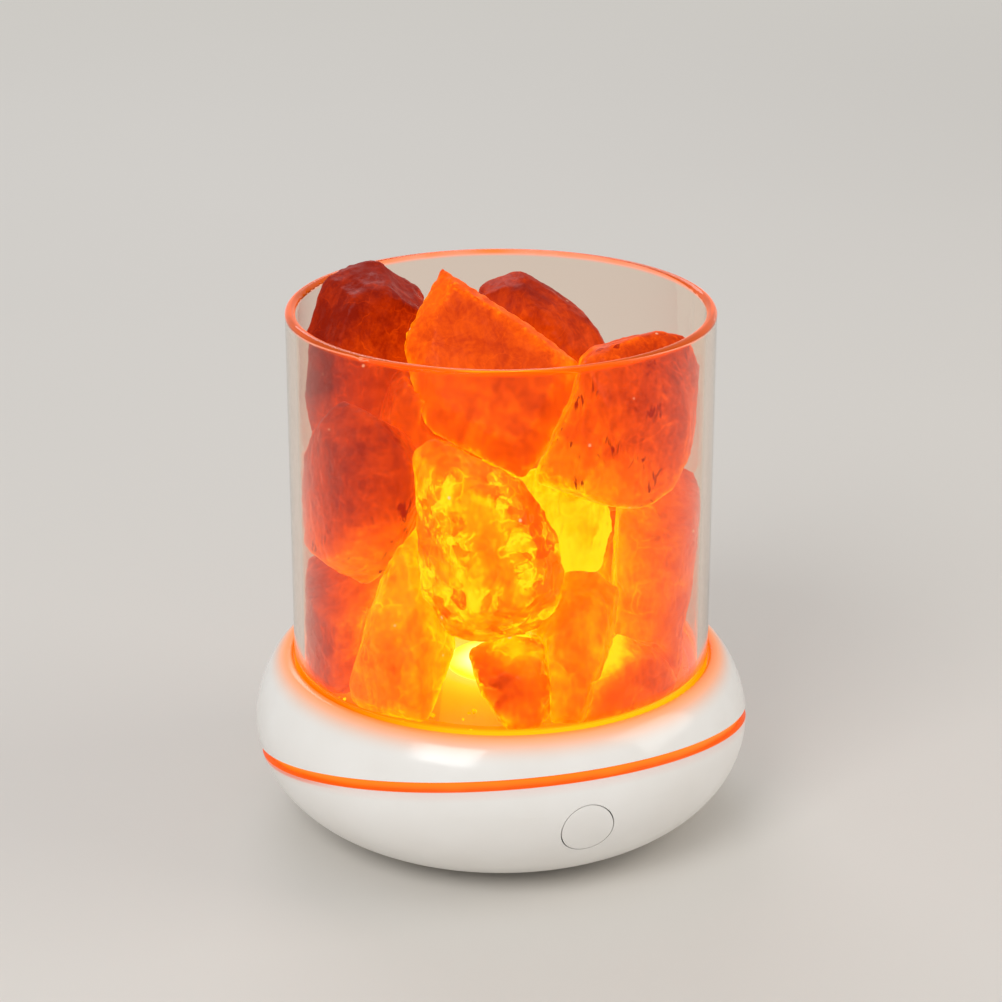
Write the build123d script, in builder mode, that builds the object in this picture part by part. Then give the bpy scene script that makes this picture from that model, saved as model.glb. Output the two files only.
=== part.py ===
from build123d import *
import math
import os

# Salt crystal lamp. Millimetres. +Z is up and the button faces -Y.
# The origin is the centre of the base's underside.

# ---------- driving dimensions: the base ----------
base_radius = 55.0            # widest radius of the pebble-shaped base
foot_radius = 28.5            # flat underside
belt_height = 23.2            # height of the widest point
crest_height = 38.4           # top of the shoulder, where the glass enters
crest_width = 1.2             # from the glass's outside to the crest of the shoulder
shoulder_fullness = 0.42      # 0.55 would be an elliptical shoulder
shell_wall = 2.2              # moulded wall of both housings
underside_height = 0.4        # the pad stands proud of the housing by this much

# ---------- the slanted strip of light ----------
seam_slope = 0.205            # rise towards the button for each millimetre of depth
seam_height = 20.9            # lower edge of the upper housing, on the axis
seam_gap = 2.1                # upright height of the open strip
ring_recess = 1.4             # the lit face lies this far inside the lower lip
ring_reach = 11.8             # from the widest radius in to the ring's inner edge
ring_play = 0.05              # between the ring and the upper housing
ledge_thickness = 1.6         # slanted ledge that carries the ring and its board
ledge_reach = 16.5            # from the widest radius in to the ledge's inner edge
clamp_reach = 10.5            # and to the inside of the upper housing's clamping flange

# ---------- the glass cup and its well ----------
cup_radius = 46.1
cup_wall = 2.25
cup_floor = 3.0
cup_length = 83.7
cup_heel = 3.0                # outside rounding at the foot of the glass
inner_round = 1.9             # inside rounding at the glass's floor
cup_clearance = 0.35          # between the glass and the well
deck_height = 33.0            # floor of the well
deck_thickness = 2.0
well_wall = 2.35
lip_rounding = 0.6
gasket_thickness = 0.8
gasket_inner_radius = 36.0
gasket_outer_radius = 42.0

# ---------- the light under the cup ----------
window_radius = 12.0
window_flange = 1.5           # how far the flange reaches past the window
window_flange_thickness = 1.2
window_rise = 0.4             # above the well's floor
fit_clearance = 0.15          # small parts in their seats
lamp_board_radius = 18.2
lamp_board_thickness = 1.6
lamp_board_drop = 6.0         # from the deck's underside to the board's top
lamp_post_circle = 15.6
lamp_post_radius = 1.9
diode_size = 5.0
diode_height = 1.6
diode_circle = 9.0
diode_count = 6               # round the middle one
reflector_wall = 1.0
reflector_play = 0.1
ring_board_width = 4.2
ring_board_thickness = 1.0
side_diode_count = 24
side_diode = (1.4, 2.8, 1.2)  # depth, width, height

# ---------- button and switch ----------
button_height = 18.8          # centre of the button on the outer surface
button_radius = 5.7
button_groove = 0.25
sleeve_wall = 2.3
sleeve_depth = 4.6            # from the outer surface to the sleeve's inner end
button_flange_gap = 0.15
button_flange_reach = 1.25
button_flange_thickness = 1.0
button_stem_radius = 1.8
button_stem_length = 0.95
button_travel = 0.5
plunger_gap = 0.05
plunger_radius = 1.75
plunger_reach = 0.9           # out of the switch's body
plunger_length = 2.4
plunger_clearance = 0.1
switch_side = 6.0
switch_corner = 0.4
switch_thickness = 3.5
switch_board = (26.0, 9.0, 1.2)
switch_post_spacing = 20.0
switch_post_radius = 2.2

# ---------- electronics ----------
main_board_width = 40.0
main_board_thickness = 1.6
main_board_front = 20.5       # y of the board's front edge
main_board_setback = 9.0      # from the widest radius in to the board's back edge
main_board_drop = 14.0        # from the deck's underside to the board's top
board_post_inset = 4.0
board_post_radius = 2.4
socket_width = 8.94
socket_height = 3.26
socket_length = 7.35
socket_wall = 0.3
socket_opening_play = 0.35
tongue_width = 6.7
tongue_thickness = 0.7
tongue_root = 1.8             # block that fills the shell behind the tongue
socket_corner_share = 0.49    # rounded ends of the socket, against its height
component_chamfer = 0.25
control_chip_size = (6.0, 5.0, 1.5)
control_chip_shift = -1.0     # from the middle of the board, towards the button
inductor_size = (6.6, 6.6, 3.0)
inductor_place = (10.0, 1.0)  # from the middle of the board
capacitor_size = (2.0, 1.25, 1.25)
capacitor_columns = (-11.0, -8.0)
capacitor_rows = (-2.0, 1.0, 4.0)
battery_socket_size = (8.0, 5.0, 5.0)
battery_socket_setback = 1.0  # behind the board's front edge
battery_radius = 9.25
battery_length = 65.0
battery_edge = 0.8
battery_nub_radius = 3.2
battery_nub_height = 1.0
battery_pad_thickness = 0.8
battery_pad_rise = 2.4        # the foam's height beside the cell
cradle_spacing = 44.0
cradle_thickness = 2.0
cradle_rise = 7.0
switch_board_corner = 1.0

# ---------- screws, posts and pad ----------
housing_post_offset = 15.6    # x and y of the four long screws
housing_post_radius = 3.5
post_split_height = 18.0      # where lower and upper posts meet
post_gap = 0.1
screw_seat_height = 9.0
long_screw_radius = 1.3
long_screw_length = 16.0
long_head_radius = 2.4
long_head_height = 1.8
small_screw_radius = 0.9
small_screw_length = 5.0
small_head_radius = 1.7
small_head_height = 1.3
thread_clearance = 0.05
head_clearance = 0.3
slot_share = 1.2              # length of the cross slot against the head's radius
slot_width = 0.5
pad_radius = 27.0
pad_thickness = 1.0
pad_play = 0.3
pad_edge = 0.25

# ---------- wires ----------
wire_radius = 0.5
wire_spacing = 1.8            # between the two wires of a pair
wire_bend_share = 0.45        # of the shorter run beside a corner
wire_rise = 3.0               # how far a wire stands up out of a board
lamp_lead_side = 8.0          # x of the lamp board's wires
ring_lead_angle = 45.0        # where the ring board's wires meet it
switch_lead_side = 5.0        # from the switch's middle to its wires
switch_lead_setback = 11.5    # where they meet the main board, behind its front edge

# ---------- the heap of salt ----------
heap_turn = -19.5             # the heap's front is turned from the button, in degrees
heap_radius = 43.4            # reach of the heap as laid out below
stone_clearance = 0.45        # between the salt and the glass
stone_gap = 0.6               # between one lump and the next
stone_face_share = 0.62       # front and back facets against the widest outline

# ---------- worked out from the above ----------
crest_radius = cup_radius + crest_width
ring_inner_radius = base_radius - ring_reach
ledge_radius = base_radius - ledge_reach
clamp_radius = base_radius - clamp_reach
seam_normal = (0, seam_slope, 1)
upper_seam = Plane(origin=(0, 0, seam_height), x_dir=(1, 0, 0), z_dir=seam_normal)
lower_seam_height = seam_height - seam_gap
lower_seam = Plane(origin=(0, 0, lower_seam_height), x_dir=(1, 0, 0), z_dir=seam_normal)
seam_stretch = math.hypot(1, seam_slope)
deck_underside = deck_height - deck_thickness
well_radius = cup_radius + cup_clearance
cup_bottom = deck_height + gasket_thickness
cup_inside = cup_radius - cup_wall
cup_floor_top = cup_bottom + cup_floor
rim_height = cup_bottom + cup_length
lamp_board_top = deck_underside - lamp_board_drop
board_top = deck_underside - main_board_drop
board_back = base_radius - main_board_setback
main_board = (main_board_width, board_back - main_board_front, main_board_thickness)
board_bottom = board_top - main_board[2]
board_middle = (main_board_front + board_back) / 2
inside_bottom = underside_height + shell_wall
battery_axis_height = inside_bottom + battery_pad_thickness + battery_radius
pad_recess = pad_thickness - underside_height

on_floor = (Align.CENTER, Align.CENTER, Align.MIN)

os.makedirs("parts", exist_ok=True)


def save(builder, name):
    builder.part.label = name
    export_step(builder.part, f"parts/{name}.step")


def pebble(inset):
    """The base's outer shape, shrunk inwards by inset."""
    side = base_radius - inset
    top = crest_height - inset
    bottom = underside_height + inset
    rise = (top - belt_height) * shoulder_fullness
    reach = (side - crest_radius) * shoulder_fullness
    with BuildPart() as body:
        with BuildSketch(Plane.XZ):
            with BuildLine():
                Line((0, bottom), (foot_radius, bottom))
                EllipticalCenterArc(
                    (foot_radius, belt_height), side - foot_radius, belt_height - bottom, 270, arc_size=90
                )
                Bezier(
                    (side, belt_height),
                    (side, belt_height + rise),
                    (crest_radius + reach, top),
                    (crest_radius, top),
                )
                Polyline((crest_radius, top), (0, top), (0, bottom))
            make_face()
        revolve(axis=Axis.Z)
    return body.part


def column(radius, low, high, x=0.0, y=0.0):
    """An upright cylinder between two heights."""
    return Pos(x, y, low) * Cylinder(radius, high - low, align=on_floor, mode=Mode.PRIVATE)


def below(solid, plane):
    return split(solid, bisect_by=plane, keep=Keep.BOTTOM)


def above(solid, plane):
    return split(solid, bisect_by=plane, keep=Keep.TOP)


def raised(plane, height):
    """A seam plane lifted by an upright height."""
    return plane.offset(height / seam_stretch)


outer_shape = pebble(0)
inner_shape = pebble(shell_wall)

housing_posts = [(sx * housing_post_offset, sy * housing_post_offset) for sx in (-1, 1) for sy in (-1, 1)]
board_posts = [
    (sx * (main_board[0] / 2 - board_post_inset), y)
    for sx in (-1, 1)
    for y in (main_board_front + board_post_inset, board_back - board_post_inset)
]
lamp_posts = [
    (lamp_post_circle * math.cos(math.radians(a)), lamp_post_circle * math.sin(math.radians(a)))
    for a in (90, 210, 330)
]

# the button's axis is square to the curved surface where the button sits
belt_drop = belt_height - button_height
bowl_width = base_radius - foot_radius
bowl_depth = belt_height - underside_height
button_reach = foot_radius + bowl_width * math.sqrt(1 - (belt_drop / bowl_depth) ** 2)
button_normal = Vector(0, -(button_reach - foot_radius) / bowl_width**2, -belt_drop / bowl_depth**2)
button_plane = Plane(
    origin=(0, -button_reach, button_height), x_dir=(1, 0, 0), z_dir=button_normal.normalized()
)
hole_radius = button_radius + button_groove
flange_depth = sleeve_depth + button_flange_gap
stem_depth = flange_depth + button_flange_thickness
plunger_depth = stem_depth + button_stem_length + plunger_gap
switch_depth = plunger_depth + plunger_reach
switch_board_depth = switch_depth + switch_thickness


def along_button(radius, start, end, x=0.0):
    """A cylinder along the button's axis, between two depths under the outer surface."""
    place = button_plane.offset(-end).location * Pos(x, 0, 0)
    return place * Cylinder(radius, end - start, align=on_floor, mode=Mode.PRIVATE)


# ---------- lower housing ----------
ledge_underside = raised(lower_seam, -ledge_thickness)
bowl_cavity = below(inner_shape, ledge_underside)
sleeve = along_button(hole_radius + sleeve_wall, -base_radius, sleeve_depth) & outer_shape
switch_posts = [
    along_button(switch_post_radius, -base_radius, switch_board_depth, x) & outer_shape
    for x in (-switch_post_spacing / 2, switch_post_spacing / 2)
]
battery_bed = Pos(0, 0, battery_axis_height) * Rot(0, 90, 0) * Cylinder(
    battery_radius + fit_clearance, battery_length
)
with BuildPart() as lower_housing:
    add(outer_shape)
    split(bisect_by=lower_seam, keep=Keep.BOTTOM)
    add(bowl_cavity, mode=Mode.SUBTRACT)
    with Locations((0, 0, inside_bottom + shell_wall)):
        Cylinder(ledge_radius, crest_height, align=on_floor, mode=Mode.SUBTRACT)
    add(sleeve)
    for post in switch_posts:
        add(post)
    for x in (-cradle_spacing / 2, cradle_spacing / 2):
        with Locations((x, 0, inside_bottom)):
            Box(cradle_thickness, battery_radius * 2, cradle_rise, align=on_floor)
    add(battery_bed, mode=Mode.SUBTRACT)
    for x, y in housing_posts:
        add(column(housing_post_radius, inside_bottom, post_split_height, x, y))
    for x, y in housing_posts:
        add(column(long_head_radius + head_clearance, 0, screw_seat_height, x, y), mode=Mode.SUBTRACT)
        add(column(long_screw_radius + fit_clearance, 0, crest_height, x, y), mode=Mode.SUBTRACT)
    add(along_button(hole_radius, -base_radius, sleeve_depth + shell_wall), mode=Mode.SUBTRACT)
    for x in (-switch_post_spacing / 2, switch_post_spacing / 2):
        pilot = along_button(
            small_screw_radius + thread_clearance, switch_board_depth - small_screw_length, switch_board_depth, x
        )
        add(pilot, mode=Mode.SUBTRACT)
    add(column(pad_radius + pad_play, 0, underside_height + pad_recess), mode=Mode.SUBTRACT)
save(lower_housing, "lower_housing")

# ---------- upper housing ----------
skin = above(outer_shape - inner_shape, upper_seam)
clamp_flange = below(above(outer_shape, upper_seam), raised(upper_seam, ledge_thickness))
clamp_flange = clamp_flange - column(clamp_radius, 0, crest_height)
well_block = column(well_radius + well_wall, deck_underside, crest_height) & outer_shape
socket_height_above_base = board_top + socket_height / 2
with BuildPart() as upper_housing:
    add(skin)
    add(clamp_flange)
    add(well_block)
    add(column(well_radius, deck_height, crest_height + cup_length), mode=Mode.SUBTRACT)
    lip = upper_housing.edges().filter_by(GeomType.CIRCLE).group_by(Axis.Z)[-1].sort_by(SortBy.RADIUS)[0]
    fillet(lip, lip_rounding)
    for x, y in housing_posts:
        add(column(housing_post_radius, post_split_height + post_gap, deck_underside, x, y))
    for x, y in board_posts:
        add(column(board_post_radius, board_top, deck_underside, x, y))
    for x, y in lamp_posts:
        add(column(lamp_post_radius, lamp_board_top, deck_underside, x, y))
    for x, y in housing_posts:
        thread_top = screw_seat_height + long_screw_length + fit_clearance
        add(column(long_screw_radius + thread_clearance, 0, thread_top, x, y), mode=Mode.SUBTRACT)
    for x, y in board_posts:
        thread_top = board_bottom + small_screw_length + fit_clearance
        add(column(small_screw_radius + thread_clearance, 0, thread_top, x, y), mode=Mode.SUBTRACT)
    for x, y in lamp_posts:
        thread_top = lamp_board_top - lamp_board_thickness + small_screw_length + fit_clearance
        add(column(small_screw_radius + thread_clearance, 0, thread_top, x, y), mode=Mode.SUBTRACT)
    with Locations((0, 0, deck_underside)):
        Cylinder(window_radius + fit_clearance, crest_height, align=on_floor, mode=Mode.SUBTRACT)
    with BuildSketch(Plane.XZ.offset(-board_back)):
        with Locations((0, socket_height_above_base)):
            RectangleRounded(
                socket_width + 2 * socket_opening_play,
                socket_height + 2 * socket_opening_play,
                socket_height / 2,
            )
    extrude(amount=-base_radius, mode=Mode.SUBTRACT)
save(upper_housing, "upper_housing")

# ---------- light ring, clamped between the housings ----------
with BuildPart() as light_ring:
    add(pebble(ring_recess))
    split(bisect_by=lower_seam, keep=Keep.TOP)
    split(bisect_by=raised(upper_seam, -ring_play), keep=Keep.BOTTOM)
    add(column(ring_inner_radius, 0, crest_height), mode=Mode.SUBTRACT)
save(light_ring, "light_ring")

# ---------- ring board and its diodes, on the same ledge ----------
ring_board_outer = ring_inner_radius - 2 * fit_clearance
ring_board_inner = ring_board_outer - ring_board_width
with BuildPart() as ring_board:
    add(column(ring_board_outer, 0, crest_height))
    add(column(ring_board_inner, 0, crest_height), mode=Mode.SUBTRACT)
    split(bisect_by=lower_seam, keep=Keep.TOP)
    split(bisect_by=raised(lower_seam, ring_board_thickness), keep=Keep.BOTTOM)
save(ring_board, "ring_board")

side_diode_circle = ring_board_outer - side_diode[0] / 2
side_diode_base = raised(lower_seam, ring_board_thickness)
with BuildPart() as ring_diodes:
    for step in range(side_diode_count):
        angle = 360 / side_diode_count * (step + 0.5)
        x = side_diode_circle * math.cos(math.radians(angle))
        y = side_diode_circle * math.sin(math.radians(angle))
        seat = lower_seam_height + ring_board_thickness - seam_slope * y
        outwards = Vector(1, 0, 0).rotate(Axis.Z, angle)
        with Locations(Plane(origin=(x, y, seat), x_dir=outwards)):
            Box(side_diode[0], side_diode[1], 2 * side_diode[2])
    split(bisect_by=side_diode_base, keep=Keep.TOP)
    split(bisect_by=raised(side_diode_base, side_diode[2]), keep=Keep.BOTTOM)
save(ring_diodes, "ring_diodes")

# ---------- glass cup and the soft ring that it stands on ----------
with BuildPart() as glass_cup:
    with BuildSketch(Plane.XZ):
        with BuildLine():
            heel = cup_radius - cup_heel
            toe = cup_inside - inner_round
            Line((0, cup_bottom), (heel, cup_bottom))
            RadiusArc((heel, cup_bottom), (cup_radius, cup_bottom + cup_heel), -cup_heel)
            Line((cup_radius, cup_bottom + cup_heel), (cup_radius, rim_height - cup_wall / 2))
            RadiusArc(
                (cup_radius, rim_height - cup_wall / 2), (cup_inside, rim_height - cup_wall / 2), -cup_wall / 2
            )
            Line((cup_inside, rim_height - cup_wall / 2), (cup_inside, cup_floor_top + inner_round))
            RadiusArc((cup_inside, cup_floor_top + inner_round), (toe, cup_floor_top), inner_round)
            Polyline((toe, cup_floor_top), (0, cup_floor_top), (0, cup_bottom))
        make_face()
    revolve(axis=Axis.Z)
save(glass_cup, "glass_cup")

with BuildPart() as cup_gasket:
    add(column(gasket_outer_radius, deck_height, cup_bottom))
    add(column(gasket_inner_radius, deck_height, cup_bottom), mode=Mode.SUBTRACT)
save(cup_gasket, "cup_gasket")

# ---------- window, reflector and lamp board ----------
flange_bottom = deck_underside - window_flange_thickness
with BuildPart() as light_window:
    add(column(window_radius + window_flange, flange_bottom, deck_underside))
    add(column(window_radius, flange_bottom, deck_height + window_rise))
    crown = light_window.faces().sort_by(Axis.Z)[-1].edges()
    fillet(crown, window_rise)
save(light_window, "light_window")

reflector_foot = lamp_board_top + reflector_play
reflector_top = flange_bottom - reflector_play
reflector_low_radius = diode_circle + diode_size * 0.8
with BuildPart() as reflector:
    with BuildSketch(Plane.XZ):
        with BuildLine():
            Polyline(
                (reflector_low_radius - reflector_wall, reflector_foot),
                (reflector_low_radius, reflector_foot),
                (window_radius + window_flange - reflector_wall / 2, reflector_top),
                (window_radius - reflector_wall / 2, reflector_top),
                close=True,
            )
        make_face()
    revolve(axis=Axis.Z)
save(reflector, "reflector")

with BuildPart() as lamp_board:
    add(column(lamp_board_radius, lamp_board_top - lamp_board_thickness, lamp_board_top))
    for x, y in lamp_posts:
        add(column(small_screw_radius + fit_clearance, 0, deck_height, x, y), mode=Mode.SUBTRACT)
save(lamp_board, "lamp_board")

with BuildPart() as lamp_diodes:
    with Locations((0, 0, lamp_board_top)):
        Box(diode_size, diode_size, diode_height, align=on_floor)
        with PolarLocations(diode_circle, diode_count):
            Box(diode_size, diode_size, diode_height, align=on_floor)
save(lamp_diodes, "lamp_diodes")


def screw_set(places, seat, shank_radius, shank_length, head_radius, head_height):
    """Screws driven upwards, their cross-slotted heads under the seat."""
    with BuildPart() as screws:
        with Locations([(x, y, seat) for x, y in places]):
            Cylinder(shank_radius, shank_length, align=on_floor)
        with Locations([(x, y, seat - head_height) for x, y in places]):
            Cylinder(head_radius, head_height, align=on_floor)
            Box(head_radius * slot_share, slot_width, head_height, mode=Mode.SUBTRACT)
            Box(slot_width, head_radius * slot_share, head_height, mode=Mode.SUBTRACT)
    return screws


lamp_board_screws = screw_set(
    lamp_posts,
    lamp_board_top - lamp_board_thickness,
    small_screw_radius,
    small_screw_length,
    small_head_radius,
    small_head_height,
)
save(lamp_board_screws, "lamp_board_screws")

# ---------- main board ----------
with BuildPart() as main_board_plate:
    with BuildSketch(Plane.XY.offset(board_bottom)):
        with Locations((0, board_middle)):
            RectangleRounded(main_board[0], main_board[1], board_post_inset / 2)
        with Locations(board_posts):
            Circle(small_screw_radius + fit_clearance, mode=Mode.SUBTRACT)
    extrude(amount=main_board[2])
save(main_board_plate, "main_board")

main_board_screws = screw_set(
    board_posts, board_bottom, small_screw_radius, small_screw_length, small_head_radius, small_head_height
)
save(main_board_screws, "main_board_screws")

with BuildPart() as socket_shell:
    with BuildSketch(Plane.XZ.offset(-board_back + socket_wall)):
        with Locations((0, socket_height_above_base)):
            RectangleRounded(socket_width, socket_height, socket_height * socket_corner_share)
            inner_width = socket_width - 2 * socket_wall
            inner_height = socket_height - 2 * socket_wall
            RectangleRounded(
                inner_width, inner_height, inner_height * socket_corner_share, mode=Mode.SUBTRACT
            )
    extrude(amount=-socket_length)
save(socket_shell, "charging_socket_shell")

with BuildPart() as socket_tongue:
    block_width = socket_width - 2 * (socket_wall + thread_clearance)
    block_height = socket_height - 2 * (socket_wall + thread_clearance)
    with BuildSketch(Plane.XZ.offset(-board_back)):
        with Locations((0, socket_height_above_base)):
            RectangleRounded(block_width, block_height, block_height * socket_corner_share)
    extrude(amount=-tongue_root)
    with BuildSketch(Plane.XZ.offset(-board_back)):
        with Locations((0, socket_height_above_base)):
            RectangleRounded(tongue_width, tongue_thickness, tongue_thickness / 3)
    extrude(amount=-(socket_length - 2 * socket_wall))
save(socket_tongue, "charging_socket_tongue")


def board_blocks(places, size):
    """Components with softened edges, standing on the main board."""
    with BuildPart(Plane.XY.offset(board_top)) as blocks:
        with Locations(places):
            Box(*size, align=on_floor)
        chamfer(blocks.faces().group_by(Axis.Z)[-1].edges(), component_chamfer)
    return blocks


control_chip = board_blocks([(0, board_middle + control_chip_shift)], control_chip_size)
save(control_chip, "control_chip")
power_inductor = board_blocks([(inductor_place[0], board_middle + inductor_place[1])], inductor_size)
save(power_inductor, "power_inductor")
capacitor_places = [(x, board_middle + y) for x in capacitor_columns for y in capacitor_rows]
board_capacitors = board_blocks(capacitor_places, capacitor_size)
save(board_capacitors, "board_capacitors")
socket_front = main_board_front + battery_socket_setback
battery_socket = board_blocks([(0, socket_front + battery_socket_size[1] / 2)], battery_socket_size)
save(battery_socket, "battery_socket")

# ---------- battery ----------
with BuildPart() as battery_cell:
    with BuildSketch(Plane.YZ.offset(-battery_length / 2)):
        with Locations((0, battery_axis_height)):
            Circle(battery_radius)
    extrude(amount=battery_length - battery_nub_height)
    fillet(battery_cell.edges().filter_by(GeomType.CIRCLE), battery_edge)
    with BuildSketch(Plane.YZ):
        with Locations((0, battery_axis_height)):
            Circle(battery_nub_radius)
    extrude(amount=battery_length / 2)
save(battery_cell, "battery_cell")

with BuildPart() as battery_pad:
    with Locations((0, 0, inside_bottom)):
        Box(cradle_spacing - 4 * cradle_thickness, battery_radius, battery_pad_rise, align=on_floor)
    add(battery_bed, mode=Mode.SUBTRACT)
save(battery_pad, "battery_pad")

# ---------- button ----------
with BuildPart() as button_cap:
    add(along_button(button_radius, -base_radius, flange_depth + button_flange_thickness) & outer_shape)
    add(along_button(button_radius + button_flange_reach, flange_depth, stem_depth))
    add(along_button(button_stem_radius, flange_depth, stem_depth + button_stem_length))
save(button_cap, "button_cap")

with BuildPart() as switch_plunger:
    add(along_button(plunger_radius, plunger_depth, plunger_depth + plunger_length))
save(switch_plunger, "switch_plunger")

with BuildPart() as switch_body:
    with BuildSketch(button_plane.offset(-switch_board_depth)):
        RectangleRounded(switch_side, switch_side, switch_corner)
    extrude(amount=switch_thickness)
    add(
        along_button(
            plunger_radius + plunger_clearance,
            switch_depth,
            plunger_depth + plunger_length + button_travel + plunger_clearance,
        ),
        mode=Mode.SUBTRACT,
    )
save(switch_body, "switch_body")

with BuildPart() as switch_board_plate:
    with BuildSketch(button_plane.offset(-switch_board_depth - switch_board[2])):
        RectangleRounded(switch_board[0], switch_board[1], switch_board_corner)
        with GridLocations(switch_post_spacing, 1, 2, 1):
            Circle(small_screw_radius + fit_clearance, mode=Mode.SUBTRACT)
    extrude(amount=switch_board[2])
save(switch_board_plate, "switch_board")

with BuildPart() as switch_board_screws:
    for x in (-switch_post_spacing / 2, switch_post_spacing / 2):
        head_depth = switch_board_depth + switch_board[2]
        tip_depth = head_depth - small_screw_length
        add(along_button(small_screw_radius, tip_depth, head_depth, x))
        add(along_button(small_head_radius, head_depth, head_depth + small_head_height, x))
save(switch_board_screws, "switch_board_screws")

# ---------- housing screws and pad ----------
housing_screws = screw_set(
    housing_posts, screw_seat_height, long_screw_radius, long_screw_length, long_head_radius, long_head_height
)
save(housing_screws, "housing_screws")

with BuildPart() as base_pad:
    add(column(pad_radius, 0, pad_thickness))
    fillet(base_pad.faces().sort_by(Axis.Z)[0].edges(), pad_edge)
save(base_pad, "base_pad")

# ---------- wires ----------
def wire_run(points):
    """A round wire along a route, its corners as wide as the runs beside them allow."""
    corners = [Vector(point) for point in points]
    radii = []
    for before, corner, after in zip(corners, corners[1:], corners[2:]):
        turn = (corner - before).get_angle(after - corner)
        shorter = min((corner - before).length, (after - corner).length)
        radii.append(wire_bend_share * shorter / math.tan(math.radians(turn / 2)))
    with BuildPart() as wire:
        with BuildLine() as route:
            FilletPolyline(*corners, radius=radii)
        with BuildSketch(Plane(origin=route.line @ 0, z_dir=route.line % 0)):
            Circle(wire_radius)
        sweep()
    straight_volume = math.pi * wire_radius**2 * route.wires()[0].length
    print(f"wire {wire.part.volume / straight_volume:.3f} of its section times its length, radii", end=" ")
    print(", ".join(f"{radius:.1f}" for radius in radii))
    return wire.part


def wire_pair(points, apart):
    """Two wires side by side."""
    with BuildPart() as pair:
        for shift in (-apart / 2, apart / 2):
            add(wire_run([Vector(point) + shift for point in points]))
    return pair


lead_height = board_top + battery_socket_size[2] / 2
over_battery = battery_axis_height + battery_radius * 0.8
beside_battery = battery_radius + 1.0
battery_end = battery_length / 2
right_lead = wire_run(
    [
        (battery_end, 0, battery_axis_height),
        (battery_end + 4.0, 0, battery_axis_height),
        (battery_end + 4.0, battery_radius * 0.7, over_battery),
        (battery_end - 3.0, beside_battery, over_battery),
        (battery_radius, beside_battery, over_battery),
        (wire_spacing / 2, socket_front - 5.0, lead_height),
        (wire_spacing / 2, socket_front, lead_height),
    ]
)
with BuildPart() as battery_leads:
    add(right_lead)
    mirror(about=Plane.YZ)
save(battery_leads, "battery_leads")

lamp_board_bottom = lamp_board_top - lamp_board_thickness
lamp_lead_height = (board_top + lamp_board_bottom) / 2
lamp_leads = wire_pair(
    [
        (lamp_lead_side, main_board_front + wire_rise, board_top),
        (lamp_lead_side, main_board_front + wire_rise, lamp_lead_height),
        (lamp_lead_side, lamp_board_radius - wire_rise, lamp_lead_height),
        (lamp_lead_side, lamp_board_radius - wire_rise, lamp_board_bottom),
    ],
    Vector(wire_spacing, 0, 0),
)
save(lamp_leads, "lamp_leads")

ring_lead_circle = (ring_board_inner + ring_board_outer) / 2
ring_lead_x = ring_lead_circle * math.sin(math.radians(ring_lead_angle))
ring_lead_y = ring_lead_circle * math.cos(math.radians(ring_lead_angle))
ring_board_top = lower_seam_height + ring_board_thickness - seam_slope * ring_lead_y
ring_lead_end = ring_board_top + seam_slope * (wire_radius + wire_spacing / 2)
board_edge = main_board[0] / 2 - wire_rise
ring_leads = wire_pair(
    [
        (board_edge, ring_lead_y, board_top),
        (board_edge, ring_lead_y, board_top + wire_rise),
        (ring_lead_x, ring_lead_y, board_top + wire_rise),
        (ring_lead_x, ring_lead_y, ring_lead_end),
    ],
    Vector(0, wire_spacing, 0),
)
save(ring_leads, "ring_leads")

switch_back = button_plane.offset(-switch_board_depth - switch_board[2])
switch_exit = switch_back.from_local_coords((-switch_lead_side, 0, 0))
switch_bend = switch_back.from_local_coords((-switch_lead_side, 0, -switch_lead_side))
above_battery = battery_axis_height + battery_radius + 2.0
switch_lead_end = main_board_front + switch_lead_setback
switch_leads = wire_pair(
    [
        switch_exit,
        switch_bend,
        (-13.0, switch_bend.Y + 6.0, above_battery - 1.0),
        (-27.0, -18.0, above_battery),
        (-28.0, 2.0, above_battery + 0.5),
        (-27.0, main_board_front - wire_radius, above_battery - 1.0),
        (-board_edge, switch_lead_end, board_top + wire_rise),
        (-board_edge, switch_lead_end, board_top),
    ],
    Vector(wire_spacing, 0, 0),
)
save(switch_leads, "switch_leads")

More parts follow.
